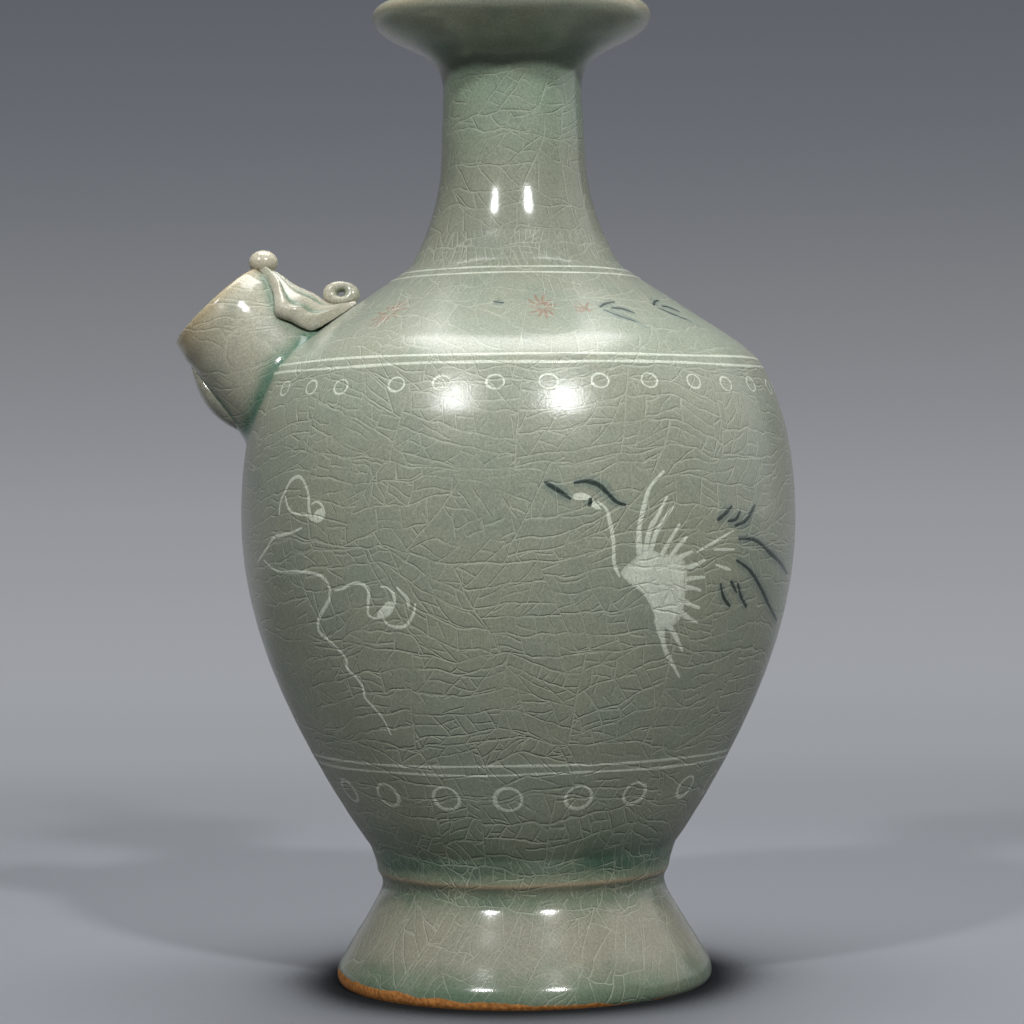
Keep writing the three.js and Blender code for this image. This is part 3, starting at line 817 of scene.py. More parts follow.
@dataclass
class Pot:
    """The five thrown sections and the pouring tube.

    The recess is the foot's inner wall down to its resting face. The tube's profile stands on the crown.
    """

    form: ThrownForm
    body_glaze: Material
    neck_glaze: Material
    foot_glaze: Material
    belly_seam: float = 119.0
    neck_seam: float = 200.68
    flange_seam: float = 237.0
    waist: float = 26.4
    ridge_height: float = 29.9
    floor_under: float = 23.4
    floor_top: float = 33.4
    floor_edge: Line = ((35.0, 36.0), (30.0, 34.0))
    spigot_radius: float = 31.7
    recess: Line = (
        (38.5, 11.5), (42.6, 3.6), (43.9, 1.0), (44.6, 0.25), (45.6, 0.0), (47.5, 0.0), (49.2, 0.0),
    )
    crown_height: float = 269.15
    socket_radius: float = 8.6
    vault_bore: float = 5.2
    lip_height: float = 260.6
    lip_inside: float = 33.5
    tube_profile: Line = (
        (8.2, -2.4), (8.2, 0.0), (12.3, 0.0), (12.35, 1.2), (11.6, 2.2), (10.2, 3.4), (10.2, 4.0),
        (10.75, 5.2), (10.1, 6.3), (9.4, 7.3), (8.9, 16.0), (8.1, 36.0), (7.5, 55.0), (7.45, 59.0),
        (8.1, 60.6), (8.85, 61.8), (8.85, 63.2), (8.3, 63.9), (6.6, 64.0), (5.0, 63.6), (4.4, 62.0),
        (4.4, 30.0), (4.4, -2.4),
    )
    tube_hollow: float = 3.6
    tube_rim: float = 63.2

    def add(self, name: str, surface: Surface, glaze: Material, node: str) -> bpy.types.Object:
        """Adds one piece of the pot, which replaces the CAD node of that name."""
        return add_piece(f"glazed_{name}", surface, glaze, (node,))

    def ridge_thinness(self, points: Array) -> Array:
        """How thin the glaze has run on the waist's ridge, whose crest wavers a little in height.

        Args:
            points: points of the pot's skin.

        Returns:
            0.85 on the crest, falling off as a bell to 0 beside it.
        """
        angle = np.arctan2(points[:, 0] - self.form.axis, -points[:, 1])
        crest = self.ridge_height + 0.12 * np.sin(2 * angle + 1) + 0.08 * np.sin(5 * angle)
        return 0.85 * bell(points[:, 2] - crest, 0.62)

    def make_foot(self) -> None:
        """Flared foot ring: its skin, a flat resting face and the recess's sloping wall."""
        radius, under, waist = self.spigot_radius, self.floor_under, self.waist
        socket = ((radius + 3, waist), (radius, waist), (radius, under), (radius + 1.6, under - 2.0))
        surface = self.form.section(0.0, waist, (*socket, *self.recess))
        surface.points[:, 2] = np.maximum(surface.points[:, 2], 0.0)
        surface.values["thin"] = self.ridge_thinness(surface.points)
        self.add("foot", surface, self.foot_glaze, "foot")

    def make_bowl(self) -> None:
        """Lower half of the body with its floor, on the spigot that stands in the foot."""
        wall = self.form.inner_wall(self.floor_top + 9, self.belly_seam, 70)
        floor = through([*self.floor_edge, (20.0, self.floor_top), (0.0, self.floor_top)], 14)
        radius, under = self.spigot_radius, self.floor_under
        spigot = ((radius - 1, under), (radius - 0.3, under + 0.7), (radius - 0.3, self.waist))
        inside = np.concatenate([wall, floor])
        bottom = ((0.0, under), (12.0, under + 0.3), *spigot)
        surface = self.form.section(self.waist, self.belly_seam, inside, bottom)
        surface.values["thin"] = self.ridge_thinness(surface.points)
        self.add("bowl", surface, self.body_glaze, "lower_body")

    def make_shoulder(self, spout: "Spout") -> None:
        """Upper half of the body, pierced under the spout, with the glaze pooled around the spout's root.

        Args:
            spout: the filler spout that stands on it.
        """
        wall = self.form.inner_wall(self.belly_seam, self.neck_seam, 70)
        surface = self.form.section(self.belly_seam, self.neck_seam, wall)
        surface.values["pool"] = spout.pool_near(surface.points)
        spout.pierce(self.add("shoulder", surface, self.body_glaze, "upper_body"))

    def make_neck(self) -> None:
        """Waisted neck."""
        wall = self.form.inner_wall(self.neck_seam, self.flange_seam, 24)
        surface = self.form.section(self.neck_seam, self.flange_seam, wall)
        self.add("neck", surface, self.neck_glaze, "neck")

    def make_flange(self) -> None:
        """Flange with its lip, its crown around the tube's root, and the vault inside."""
        seam, crown = self.flange_seam, self.crown_height
        bore = float(self.form.at(self.form.arc_at(seam))[0]) - self.form.body_wall
        inside = (
            (self.socket_radius, crown), (self.socket_radius, crown - 3), (self.vault_bore, crown - 3.2),
            (self.vault_bore, crown - 5.5), (bore * 0.8, crown - 9.0), (bore, crown - 14.0), (bore, seam),
        )
        surface = self.form.section(seam, crown, inside)
        outer = self.form.radius_of(surface.points) > self.lip_inside
        surface.values["thin"] = 0.45 * bell(surface.points[:, 2] - self.lip_height, 1.3) * outer
        self.add("flange", surface, self.neck_glaze, "flange")

    def make_tube(self) -> None:
        """Slender pouring tube: a moulded collar, a long taper, a rolled lip and the bore."""
        foot = self.crown_height + 0.05
        outside = np.array(self.tube_profile) + (0.0, foot)
        profile = np.concatenate([outside[:2], softened(outside[2:-2], 0.45, 0.35), outside[-2:]])
        surface = gridded(self.form.turned(profile), wrap_rows=True)
        height = surface.points[:, 2] - foot
        surface.values["thin"] = 0.7 * bell(height - self.tube_rim, 0.9)
        surface.values["pool"] = 0.8 * bell(height - self.tube_hollow, 0.7)
        self.add("pouring_tube", surface, self.neck_glaze, "pouring_tube")


@dataclass
class Spout:
    """Filler spout with its leaf, bead, cord loop and sepal.

    Its own places are a distance from its axis, an angle about it (0 towards the neck, a quarter turn towards
    the back) and a depth below the mouth.
    """

    form: ThrownForm
    cup_glaze: Material
    leaf_glaze: Material
    mouth: tuple[float, float] = (-81.4, 183.6)
    lean: float = 42.3
    mouth_radius: float = 14.9
    root_radius: float = 18.8
    length: float = 34.0
    wall: float = 3.0
    rim_depth: float = 0.7
    joint_overlap: float = 1.2
    joint_swell: float = 1.5
    hole_radius: float = 8.5
    hole_depths: tuple[float, float] = (20.0, 44.0)
    tail_reach: float = 42.5
    leaf_half_angle: float = 52.0
    pleat_depth: float = 0.75
    edge_roll: float = 1.5
    bead_radius: float = 3.4
    bead_place: tuple[float, float] = (17.4, 0.5)
    loop_radius: float = 2.95
    loop_thickness: float = 2.05
    loop_squash: float = 0.72
    loop_tilt: float = 75.0
    loop_place: tuple[float, float] = (-47.2, 186.0)
    sepal_depth: float = 7.6
    sepal_length: float = 22.1
    sepal_width: float = 6.6
    sides: int = 160

    def outer_radius(self, depth: Array) -> Array:
        """Outer radius: it grows with the sine of the depth's share, quickly at first and then hardly."""
        share = np.clip(depth / self.length, 0, 1)
        return self.mouth_radius + (self.root_radius - self.mouth_radius) * np.sin(share * np.pi / 2)

    def place(self, distance: Array, angle: Array, depth: Array) -> Array:
        """Turns the spout's own places into points: its axis leans in the plane of the mouth and the neck.

        Args:
            distance: distance from the spout's axis.
            angle: angle about it.
            depth: depth below the mouth.

        Returns:
            Points in the part's frame, in millimetres.
        """
        tilt = math.radians(self.lean)
        towards = distance * np.cos(angle)
        x = self.form.axis + self.mouth[0] + towards * math.cos(tilt) + depth * math.sin(tilt)
        z = self.mouth[1] + towards * math.sin(tilt) - depth * math.cos(tilt)
        return np.stack(np.broadcast_arrays(x, distance * np.sin(angle), z), axis=-1)

    def within(self, x: Array, z: Array) -> tuple[Array, Array]:
        """Turns a place of the plane through both axes into the spout's own.

        Args:
            x: distance to the right of the pot's axis.
            z: height.

        Returns:
            Distance from the spout's axis towards the neck, and depth below the mouth.
        """
        tilt = math.radians(self.lean)
        x, z = x - self.mouth[0], z - self.mouth[1]
        return x * math.cos(tilt) + z * math.sin(tilt), x * math.sin(tilt) - z * math.cos(tilt)

    def gap_to_pot(self, points: Array) -> Array:
        """Distance from points to the pot's skin, measured level and turned by its slope."""
        skin, _, out, _ = self.form.at(self.form.arc_at(points[..., 2]))
        return (self.form.radius_of(points) - skin) * out

    def meeting_depth(self, inwards: float | None, angle: Array) -> Array:
        """Depth at which each line down the spout's wall reaches the pot's skin.

        Args:
            inwards: how far inside the mouth's radius straight lines run, or None for the outer wall.
            angle: angles of the lines.

        Returns:
            Depths, found between the last step over the skin and the first one under it.
        """
        depth = np.linspace(0, self.length + 8, 400)[:, None]
        distance = self.outer_radius(depth) if inwards is None else self.mouth_radius - inwards
        gap = self.gap_to_pot(self.place(distance, angle, depth))
        first = np.argmax(gap <= 0, axis=0)
        columns = np.arange(len(angle))
        before, after = gap[first - 1, columns], gap[first, columns]
        return depth[first - 1, 0] + before / (before - after) * (depth[1, 0] - depth[0, 0])

    def beyond(self, points: Array) -> Array:
        """How far points lie from the spout's outer wall.

        Args:
            points: points in the part's frame.

        Returns:
            Distances, negative inside the wall, and 100 for what lies deeper than the spout reaches.
        """
        towards, depth = self.within(points[..., 0] - self.form.axis, points[..., 2])
        distance = np.hypot(towards, points[..., 1]) - self.outer_radius(depth)
        return np.where(depth < self.length + 12, distance, 100.0)

    def pool_near(self, points: Array) -> Array:
        """How much glaze pools on the pot around the spout's root, 0.8 at the joint and 0 away from it."""
        return 0.8 * bell(np.clip(self.beyond(points), 0, None), 2.6)

    def pierce(self, piece: bpy.types.Object) -> None:
        """Cuts the fill hole through the shoulder's wall.

        Args:
            piece: the shoulder.
        """
        start, end = self.hole_depths
        distance = np.array([0.0, self.hole_radius, self.hole_radius, 0.0])[:, None]
        depth = np.array([start, start, end, end])[:, None]
        surface = gridded(self.place(distance, turns(64, 0.5), depth))
        cutter = bpy.data.objects.new("fill_hole", mesh_of("fill_hole", surface, 40))
        bpy.context.scene.collection.objects.link(cutter)
        drill = piece.modifiers.new("fill_hole", "BOOLEAN")
        drill.operation = "DIFFERENCE"
        drill.solver = "EXACT"
        drill.object = cutter
        bpy.context.view_layer.update()
        view = bpy.context.evaluated_depsgraph_get()
        drilled = bpy.data.meshes.new_from_object(piece.evaluated_get(view))
        piece.modifiers.remove(drill)
        piece.data = drilled
        bpy.data.objects.remove(cutter)

    def cup_pool(self, angle: Array, depth: Array, end: Array) -> Array:
        """How much glaze pools on the cup's outside: at its root, beside the leaf and beside the sepal, where
        the pool's dark green also serves as painted shade in the seam.

        Args:
            angle: angles of the cup's columns.
            depth: depths of its points.
            end: depth at which each column ends.

        Returns:
            0 without a pool, up to 0.9.
        """
        turned = np.abs((angle + np.pi) % TURN - np.pi)
        leaf_edge = turned - 0.86 * smooth_step(-6, 16, depth)
        beside_leaf = bell(leaf_edge, 0.15) * smooth_step(1, 5, depth)
        half_width = self.sepal_half_width((depth - self.sepal_depth) / self.sepal_length)
        sepal_edge = np.abs(np.pi - turned) * self.outer_radius(depth) - half_width
        # Painted shade: the dark green beside the sepal is pooled glaze and also stands for the shade in the
        # seam between sepal and cup.
        sepal_pool_and_shade = bell(sepal_edge - 0.9, 1.5) * smooth_step(6, 11, depth)
        root = bell(end - self.joint_overlap - depth, 3.5)
        return np.maximum(0.9 * root, np.maximum(0.6 * beside_leaf, 0.85 * sepal_pool_and_shade))

    def make_cup(self) -> None:
        """Cup with a rounded rim, a slight swelling where it is luted on, and glaze pooled at its root."""
        angle = turns(self.sides)[None, :]
        end_out = self.meeting_depth(None, angle[0]) + self.joint_overlap
        end_in = self.meeting_depth(self.wall - 1.0, angle[0]) + self.joint_overlap
        depth = self.rim_depth + np.linspace(1, 0, 44)[:, None] ** 0.9 * (end_out - self.rim_depth)
        joint = self.joint_swell * np.exp(-((end_out - depth) / 1.9)) * smooth_step(2, 6, depth)
        wobble = 0.12 * np.sin(3 * angle + depth / 6) - 0.12
        rim_roll = 0.38 * bell(depth - 5.2, 2.6)
        outer = self.place(self.outer_radius(depth) + joint + rim_roll + wobble, angle, depth)
        roll = np.linspace(0, np.pi, 10)[1:-1, None]
        middle = self.mouth_radius - self.wall / 2 - 0.15
        rim_distance = middle + np.cos(roll) * self.wall / 2 + wobble[:1]
        rim = self.place(rim_distance, angle, self.rim_depth * (1 - np.sin(roll) * 0.97))
        depth_in = self.rim_depth + np.linspace(0, 1, 30)[:, None] * (end_in - self.rim_depth)
        inner = self.place(self.outer_radius(depth_in) - self.wall + wobble[:1], angle, depth_in)
        pool_in = 0.9 * bell(end_in - self.joint_overlap - depth_in, 4.0)
        far = smooth_step(0.5, -0.8, np.cos(angle))
        thin = np.exp(-((depth / 2.2) ** 1.4)) + 0.75 * far * bell(depth, 9)
        nothing = np.zeros_like(rim[..., 0])
        surface = gridded(np.concatenate([outer, rim, inner]), wrap_rows=True)
        pools = [self.cup_pool(angle, depth, end_out), nothing, pool_in]
        surface.values["pool"] = np.concatenate(pools).ravel()
        thins = [np.clip(thin, 0, 1) * 0.7, nothing + 0.55, 0 * depth_in]
        surface.values["thin"] = np.concatenate(thins).ravel()
        add_piece("spout_cup", surface, self.cup_glaze, ("filler_spout",), 60)

    def leaf_line(self, count: int) -> Array:
        """The leaf's middle line: down the spout's wall, then outwards to the shoulder.

        Args:
            count: how many points to return.

        Returns:
            Distance from the spout's axis and depth, one row a point.
        """
        upper = self.form.arcs > self.form.arc_at(self.form.belly_height)
        arc = np.interp(-self.tail_reach, -self.form.outline[upper, 0], self.form.arcs[upper])
        distance, depth = self.within(-self.tail_reach, float(self.form.at(arc)[1]))
        start = np.array([self.mouth_radius + 0.35, 0.6])
        first = np.array([self.root_radius - 0.8, depth / 2])
        second = np.array([self.root_radius - 0.5, depth - 2])
        end = np.array([distance, depth - 0.35])
        return bezier(tuple(start), tuple(first - start), tuple(end), tuple(end - second), count)

    def make_leaf(self) -> None:
        """Moulded leaf: pleats run down its length, and its edges are rolled outwards."""
        count = 80
        line = self.leaf_line(count)
        share = np.linspace(0, 1, count)[:, None]
        turn = turns(96)[None, :]
        across, side = np.cos(turn), np.sin(turn)
        bulge = np.sin(np.pi * share)
        opening = 0.1 + 0.9 * smooth_step(-0.05, 0.42, share)
        closing = 1 - 0.82 * smooth_step(0.56, 1.0, share)
        width = math.radians(self.leaf_half_angle) * opening * closing * (1 + 0.05 * np.sin(share * 19))
        pleats = self.pleat_depth * np.cos(4.6 * np.pi * across + 0.7) * bulge**0.7
        roll = self.edge_roll * bell(np.abs(across) - 0.84, 0.17) * bulge**0.4
        roll = roll * (1 + 0.18 * np.sin(share * 38))
        wave = 0.35 * np.sin(share * 15 + 0.6) * bulge
        thick = (2.2 - 0.7 * share) * (0.25 + 0.75 * np.sin(np.pi * (0.02 + 0.96 * share)) ** 0.4)
        tangent = np.gradient(line, axis=0)
        tangent /= np.linalg.norm(tangent, axis=1)[:, None]
        drop = self.drop_below(line, tangent, width * across)
        middle = -(0.35 + 0.5 * smooth_step(0.5, 0.85, share)) * drop * np.abs(across) ** 4
        above = middle + (thick + pleats + roll + wave) * np.abs(side) ** 0.45
        under = middle + (-0.3 - drop - middle) * np.abs(side)
        lift = np.where(side > 0, above, under)
        distance = line[:, :1] + tangent[:, 1:] * lift
        depth = line[:, 1:] - tangent[:, :1] * lift
        surface = lofted(self.above_pot(self.place(distance, width * across, depth)))
        crease = np.clip(-1.9 * pleats - 0.1, 0, 0.8) * (np.abs(across) < 0.8)
        surface.values["pool"] = np.pad(crease, ((1, 1), (0, 0))).ravel()
        add_piece("moulded_leaf", surface, self.leaf_glaze, ("spout_leaf",), 75)

    def drop_below(self, line: Array, tangent: Array, angle: Array) -> Array:
        """How far the leaf's middle sheet stands over the cup or the pot, whichever it meets first.

        Args:
            line: the leaf's middle line.
            tangent: the line's direction at each point.
            angle: angles of the leaf's points about the spout.

        Returns:
            The height over what lies below, in steps of 0.2 up to 9.2.
        """
        steps = np.linspace(0, 9, 46)[:, None, None]
        distance = line[None, :, :1] - tangent[None, :, 1:] * steps
        depth = line[None, :, 1:] + tangent[None, :, :1] * steps
        spots = self.place(distance, angle, depth)
        clear = np.minimum(self.beyond(spots), self.gap_to_pot(spots)) > 0.1
        return np.sum(np.cumprod(clear, axis=0), axis=0) * (steps[1, 0, 0] - steps[0, 0, 0])

    def above_pot(self, points: Array) -> Array:
        """Raises what would sink into the pot's skin to just over it, along the skin's outward direction.

        Args:
            points: points in the part's frame.

        Returns:
            The points, each at least about 0.1 over the skin.
        """
        _, _, out, up = self.form.at(self.form.arc_at(points[..., 2]))
        push = np.clip(0.1 - self.gap_to_pot(points), 0, None)
        sideways = push * out / self.form.radius_of(points)
        x, y = points[..., 0] - self.form.axis, points[..., 1]
        return points + np.stack([sideways * x, sideways * y, push * up], axis=-1)

    def make_bead(self) -> None:
        """Ball of clay at the head of the leaf, a little uneven."""
        rise = np.linspace(0, np.pi, 40)[:, None]
        turn = turns(64)[None, :]
        level = np.sin(rise)
        radius = self.bead_radius + 0.12 * np.sin(2 * turn + 1) * level + 0.06 * np.cos(3 * rise)
        parts = (1.14 * level * np.cos(turn), level * np.sin(turn), 0.93 * np.cos(rise))
        middle = self.place(self.bead_place[0], 0.0, self.bead_place[1])
        surface = gridded(middle + radius[..., None] * np.stack(np.broadcast_arrays(*parts), axis=-1))
        surface.values["thin"] = np.full(len(surface.points), 0.7)
        add_piece("leaf_bead_ball", surface, self.leaf_glaze, ("leaf_bead",))

    def make_cord_loop(self) -> None:
        """Oval ring of clay whose hole faces forwards, for the cord of a lid; inside the hole the dark green
        of pooled glaze is also painted shade.
        """
        turn, round_it = turns(84)[:, None], turns(40)[None, :]
        thick = self.loop_thickness * (1 + 0.05 * np.cos(2 * turn + 1.1) + 0.03 * np.cos(3 * turn))
        reach = self.loop_radius + thick * np.cos(round_it)
        tilt = math.radians(self.loop_tilt)
        y, z = reach * np.sin(turn) * self.loop_squash, thick * np.sin(round_it)
        tilted = (y * math.cos(tilt) - z * math.sin(tilt), y * math.sin(tilt) + z * math.cos(tilt))
        centre = (self.form.axis + self.loop_place[0], 0.0, self.loop_place[1])
        rows = np.stack([reach * np.cos(turn), *tilted], axis=-1) + centre
        surface = gridded(rows, wrap_rows=True)
        # Painted shade: the inside of the hole takes the dark green of pooled glaze, which also stands for
        # the shade in the hole.
        hole = np.clip(-np.cos(round_it) - 0.35, 0, 1)
        surface.values["pool"] = np.tile(hole[0], len(turn))
        add_piece("cord_loop", surface, self.leaf_glaze, ("lid_cord_loop",), 70)

    def sepal_half_width(self, share: Array) -> Array:
        """Half of the sepal's width at a share of its length: narrow at its tip and broad at its root."""
        return self.sepal_width * np.sin(np.pi * (0.015 + 0.68 * np.clip(share, 0, 1))) ** 0.7

    def make_sepal(self) -> None:
        """Leaf pressed on the spout's underside: a rounded strip with a faint vein."""
        share = np.linspace(0, 1, 48)[:, None]
        turn = turns(48)[None, :]
        depth = self.sepal_depth + self.sepal_length * share
        radius = self.outer_radius(depth)
        bulge = np.sin(np.pi * (0.03 + 0.94 * share))
        thick = 0.3 + 2.3 * bulge**0.85 + 0.3 * bell(np.cos(turn), 0.16) * bulge
        side = np.abs(np.sin(turn))
        up = np.where(np.sin(turn) > 0, side**0.8 * thick, -0.9 * side)
        angle = np.pi + self.sepal_half_width(share) / radius * np.cos(turn)
        surface = lofted(self.place(radius + up - 0.3 - 0.5 * (1 - bulge), angle, depth))
        add_piece("leaf_under_spout", surface, self.cup_glaze, ("spout_sepal",), 75)


class Slip(Enum):
    """Clay slips that the decoration is inlaid with."""

    WHITE = "white"
    BLACK = "black"
    RED = "red"
    WASH = "wash"


@dataclass(frozen=True)
class Stroke:
    """One touch of slip: points in millimetres to the right of and above the motif's anchor.

    The width is half of the line's. Without a width, the points are the border of a filled touch.
    """

    slip: Slip
    width: float
    points: Line
    tapered: bool = False


Motif = tuple[Stroke, ...]


def strokes(slip: Slip, width: float, lines: tuple[Line, ...], tapered: bool = False) -> Motif:
    """Strokes of one slip and width, one along each line."""
    return tuple(Stroke(slip, width, line, tapered) for line in lines)


FLYING_CRANE: Motif = (
    Stroke(Slip.WHITE, 0.0, (
        (-8.8, -0.7), (-5.3, 3.0), (-2.5, 6.0), (1.4, 4.2), (8.7, 2.7), (10.3, -1.7), (10.1, -7.3),
        (9.7, -11.6), (6.5, -14.6), (3.2, -14.9), (0.6, -10.0), (-2.8, -5.6), (-6.8, -2.9),
    )),
    *strokes(Slip.WHITE, 0.95, (
        ((3.4, 24.5), (-0.9, 20.5), (-2.9, 15.4), (-4.2, 10.3), (-4.0, 4.0)),
        ((4.0, 18.2), (1.4, 14.0), (-1.1, 10.2), (-2.4, 5.0)),
        ((5.7, 15.7), (1.9, 11.4), (-0.6, 5.9), (-1.2, 2.0)),
        ((7.7, 11.3), (5.2, 8.0), (2.9, 4.6), (1.6, 1.5)),
        ((9.9, 8.1), (6.5, 5.0), (3.6, 1.5)),
        ((11.9, 4.3), (9.0, 3.4), (6.1, 1.9)),
        ((16.0, 2.1), (13.0, 0.9), (8.4, 0.1)),
        ((16.3, -2.3), (12.4, -2.4), (8.0, -2.9)),
        ((15.3, -5.7), (12.8, -5.0), (8.6, -4.7)),
        ((15.3, -10.1), (13.0, -9.4), (8.8, -7.6)),
        ((15.2, -13.8), (12.6, -12.8), (8.0, -10.2)),
        ((11.4, -20.9), (9.0, -17.6), (5.4, -13.6)),
        ((5.7, -19.4), (4.2, -17.2), (2.0, -12.4)),
        ((11.8, -27.6), (8.8, -24.0), (5.6, -19.8), (4.0, -15.0)),
    ), tapered=True),
    Stroke(Slip.BLACK, 0.78, ((-28.2, 22.2), (-25.1, 20.2), (-21.8, 17.9))),
    Stroke(Slip.WHITE, 0.0, (
        (-21.6, 18.5), (-19.6, 19.5), (-17.4, 18.9), (-15.1, 16.6), (-14.1, 15.2), (-15.3, 15.2),
        (-16.7, 16.0), (-17.0, 17.6), (-19.1, 18.0), (-21.0, 17.8),
    )),
    Stroke(Slip.WHITE, 0.62, (
        (-15.2, 17.2), (-13.1, 15.5), (-12.0, 12.1), (-11.1, 7.5), (-10.4, 1.0), (-9.0, -1.6),
    )),
    Stroke(Slip.BLACK, 0.78, (
        (-21.0, 21.9), (-17.7, 22.2), (-14.7, 21.3), (-12.5, 19.3), (-9.9, 16.9), (-7.7, 16.2),
    )),
    Stroke(Slip.BLACK, 0.8, ((-16.8, 18.2), (-17.2, 16.0))),
)
LANDING_CRANE: Motif = (
    Stroke(Slip.BLACK, 0.73, ((-23.9, 12.0), (-21.0, 13.6), (-18.2, 15.6))),
    Stroke(Slip.BLACK, 0.68, ((-20.0, 11.7), (-16.6, 12.3), (-14.8, 14.2))),
    Stroke(Slip.BLACK, 0.73, ((-17.3, 10.5), (-12.9, 11.6), (-8.0, 15.7))),
    Stroke(Slip.BLACK, 0.78, ((-15.5, 7.2), (-8.9, 6.9), (1.1, 3.1), (10.0, 0.0), (18.0, -3.0))),
    Stroke(Slip.BLACK, 0.78, ((-15.9, 1.8), (-10.2, -0.6), (-2.5, -5.7), (5.7, -11.0), (16.0, -15.3))),
    Stroke(Slip.BLACK, 0.68, ((-21.2, -4.0), (-19.0, -7.6), (-15.7, -10.1))),
    Stroke(Slip.BLACK, 0.63, ((-17.3, -3.5), (-13.9, -6.6))),
    Stroke(Slip.BLACK, 0.68, ((-14.3, -4.0), (-11.6, -7.8), (-8.2, -10.6))),
    *strokes(Slip.WHITE, 0.5, (
        ((-30.6, 4.1), (-23.8, 6.8), (-17.6, 9.2)),
        ((-24.8, 4.6), (-16.9, 4.4)),
        ((-23.7, 0.7), (-17.6, -0.8)),
    )),
)
CLOUD: Motif = (
    Stroke(Slip.WHITE, 0.55, (
        (-13.1, 18.6), (-12.6, 21.8), (-10.5, 24.5), (-7.4, 27.7), (-4.0, 28.3), (-1.7, 26.3), (-0.4, 23.6),
        (-0.1, 20.4), (1.2, 17.7), (3.2, 17.0), (5.5, 18.6), (4.9, 20.8), (2.6, 22.0), (0.9, 21.3),
    )),
    Stroke(Slip.WHITE, 0.0, ((1.2, 17.4), (3.2, 16.8), (5.6, 18.2), (5.2, 20.4), (3.2, 20.0), (1.8, 19.0))),
    Stroke(Slip.WHITE, 0.53, ((-10.4, 23.6), (-8.7, 20.4), (-5.2, 19.0), (-0.8, 18.6), (1.2, 17.2))),
    Stroke(Slip.WHITE, 0.55, (
        (-3.1, 15.4), (-6.9, 14.3), (-11.1, 13.6), (-16.7, 12.6), (-20.1, 10.3), (-25.8, 7.4), (-28.4, 6.2),
    )),
    Stroke(Slip.WHITE, 0.58, (
        (-23.4, 7.0), (-19.2, 5.2), (-14.4, 4.1), (-6.7, 4.2), (-0.1, 3.9), (3.8, 2.8), (5.5, 0.5),
        (5.1, -2.2), (3.3, -4.3), (1.0, -6.4), (-0.9, -8.7), (-1.4, -10.6), (1.4, -13.0), (4.5, -15.5),
        (6.2, -17.7), (5.9, -20.5), (7.8, -22.3), (9.2, -25.0), (8.9, -27.8), (10.5, -30.0), (12.2, -32.8),
        (13.0, -37.4),
    )),
    Stroke(Slip.WHITE, 0.55, (
        (7.1, -0.4), (10.0, 0.1), (13.2, 1.4), (16.5, 1.3), (17.9, 0.2), (17.4, -3.4), (17.0, -6.6),
        (18.0, -7.2), (20.5, -7.0),
    )),
    Stroke(Slip.WHITE, 0.0, (
        (19.2, -7.0), (21.2, -4.3), (23.5, -2.9), (25.2, -3.3), (24.0, -5.6), (21.4, -7.2),
    )),
    Stroke(Slip.WHITE, 0.5, (
        (20.9, -7.4), (22.0, -8.8), (24.3, -9.4), (26.6, -9.2), (28.7, -7.4), (30.2, -5.1), (30.7, -3.3),
    )),
    *strokes(Slip.WHITE, 0.53, (
        ((21.7, 0.7), (23.7, 0.5), (25.0, -0.7), (25.1, -2.9), (23.5, -5.6)),
        ((26.2, 0.7), (27.4, -0.6), (28.8, -2.4), (28.6, -4.7)),
    )),
)
LEAF_SPRAY: Motif = (
    Stroke(Slip.BLACK, 0.6, ((-1.5, 1.2), (1.5, 2.4), (4.6, 2.9))),
    Stroke(Slip.BLACK, 0.62, ((1.8, 1.1), (4.6, 1.0), (8.0, -0.2))),
    Stroke(Slip.BLACK, 0.5, ((-1.0, 0.6), (2.2, -1.2), (6.0, -2.6))),
    Stroke(Slip.WASH, 1.3, ((0.5, 0.6), (4.0, -1.4), (8.4, -4.4))),
)
DAB: Motif = (Stroke(Slip.BLACK, 0.5, ((-1.4, 0.3), (1.4, -0.2))),)


@dataclass(frozen=True)
class CircleBand:
    """Band of stamped circles: a circle's size is its width and its height along the wall."""

    name: str
    height: float
    count: int
    first: float
    size: tuple[float, float]
    line_width: float


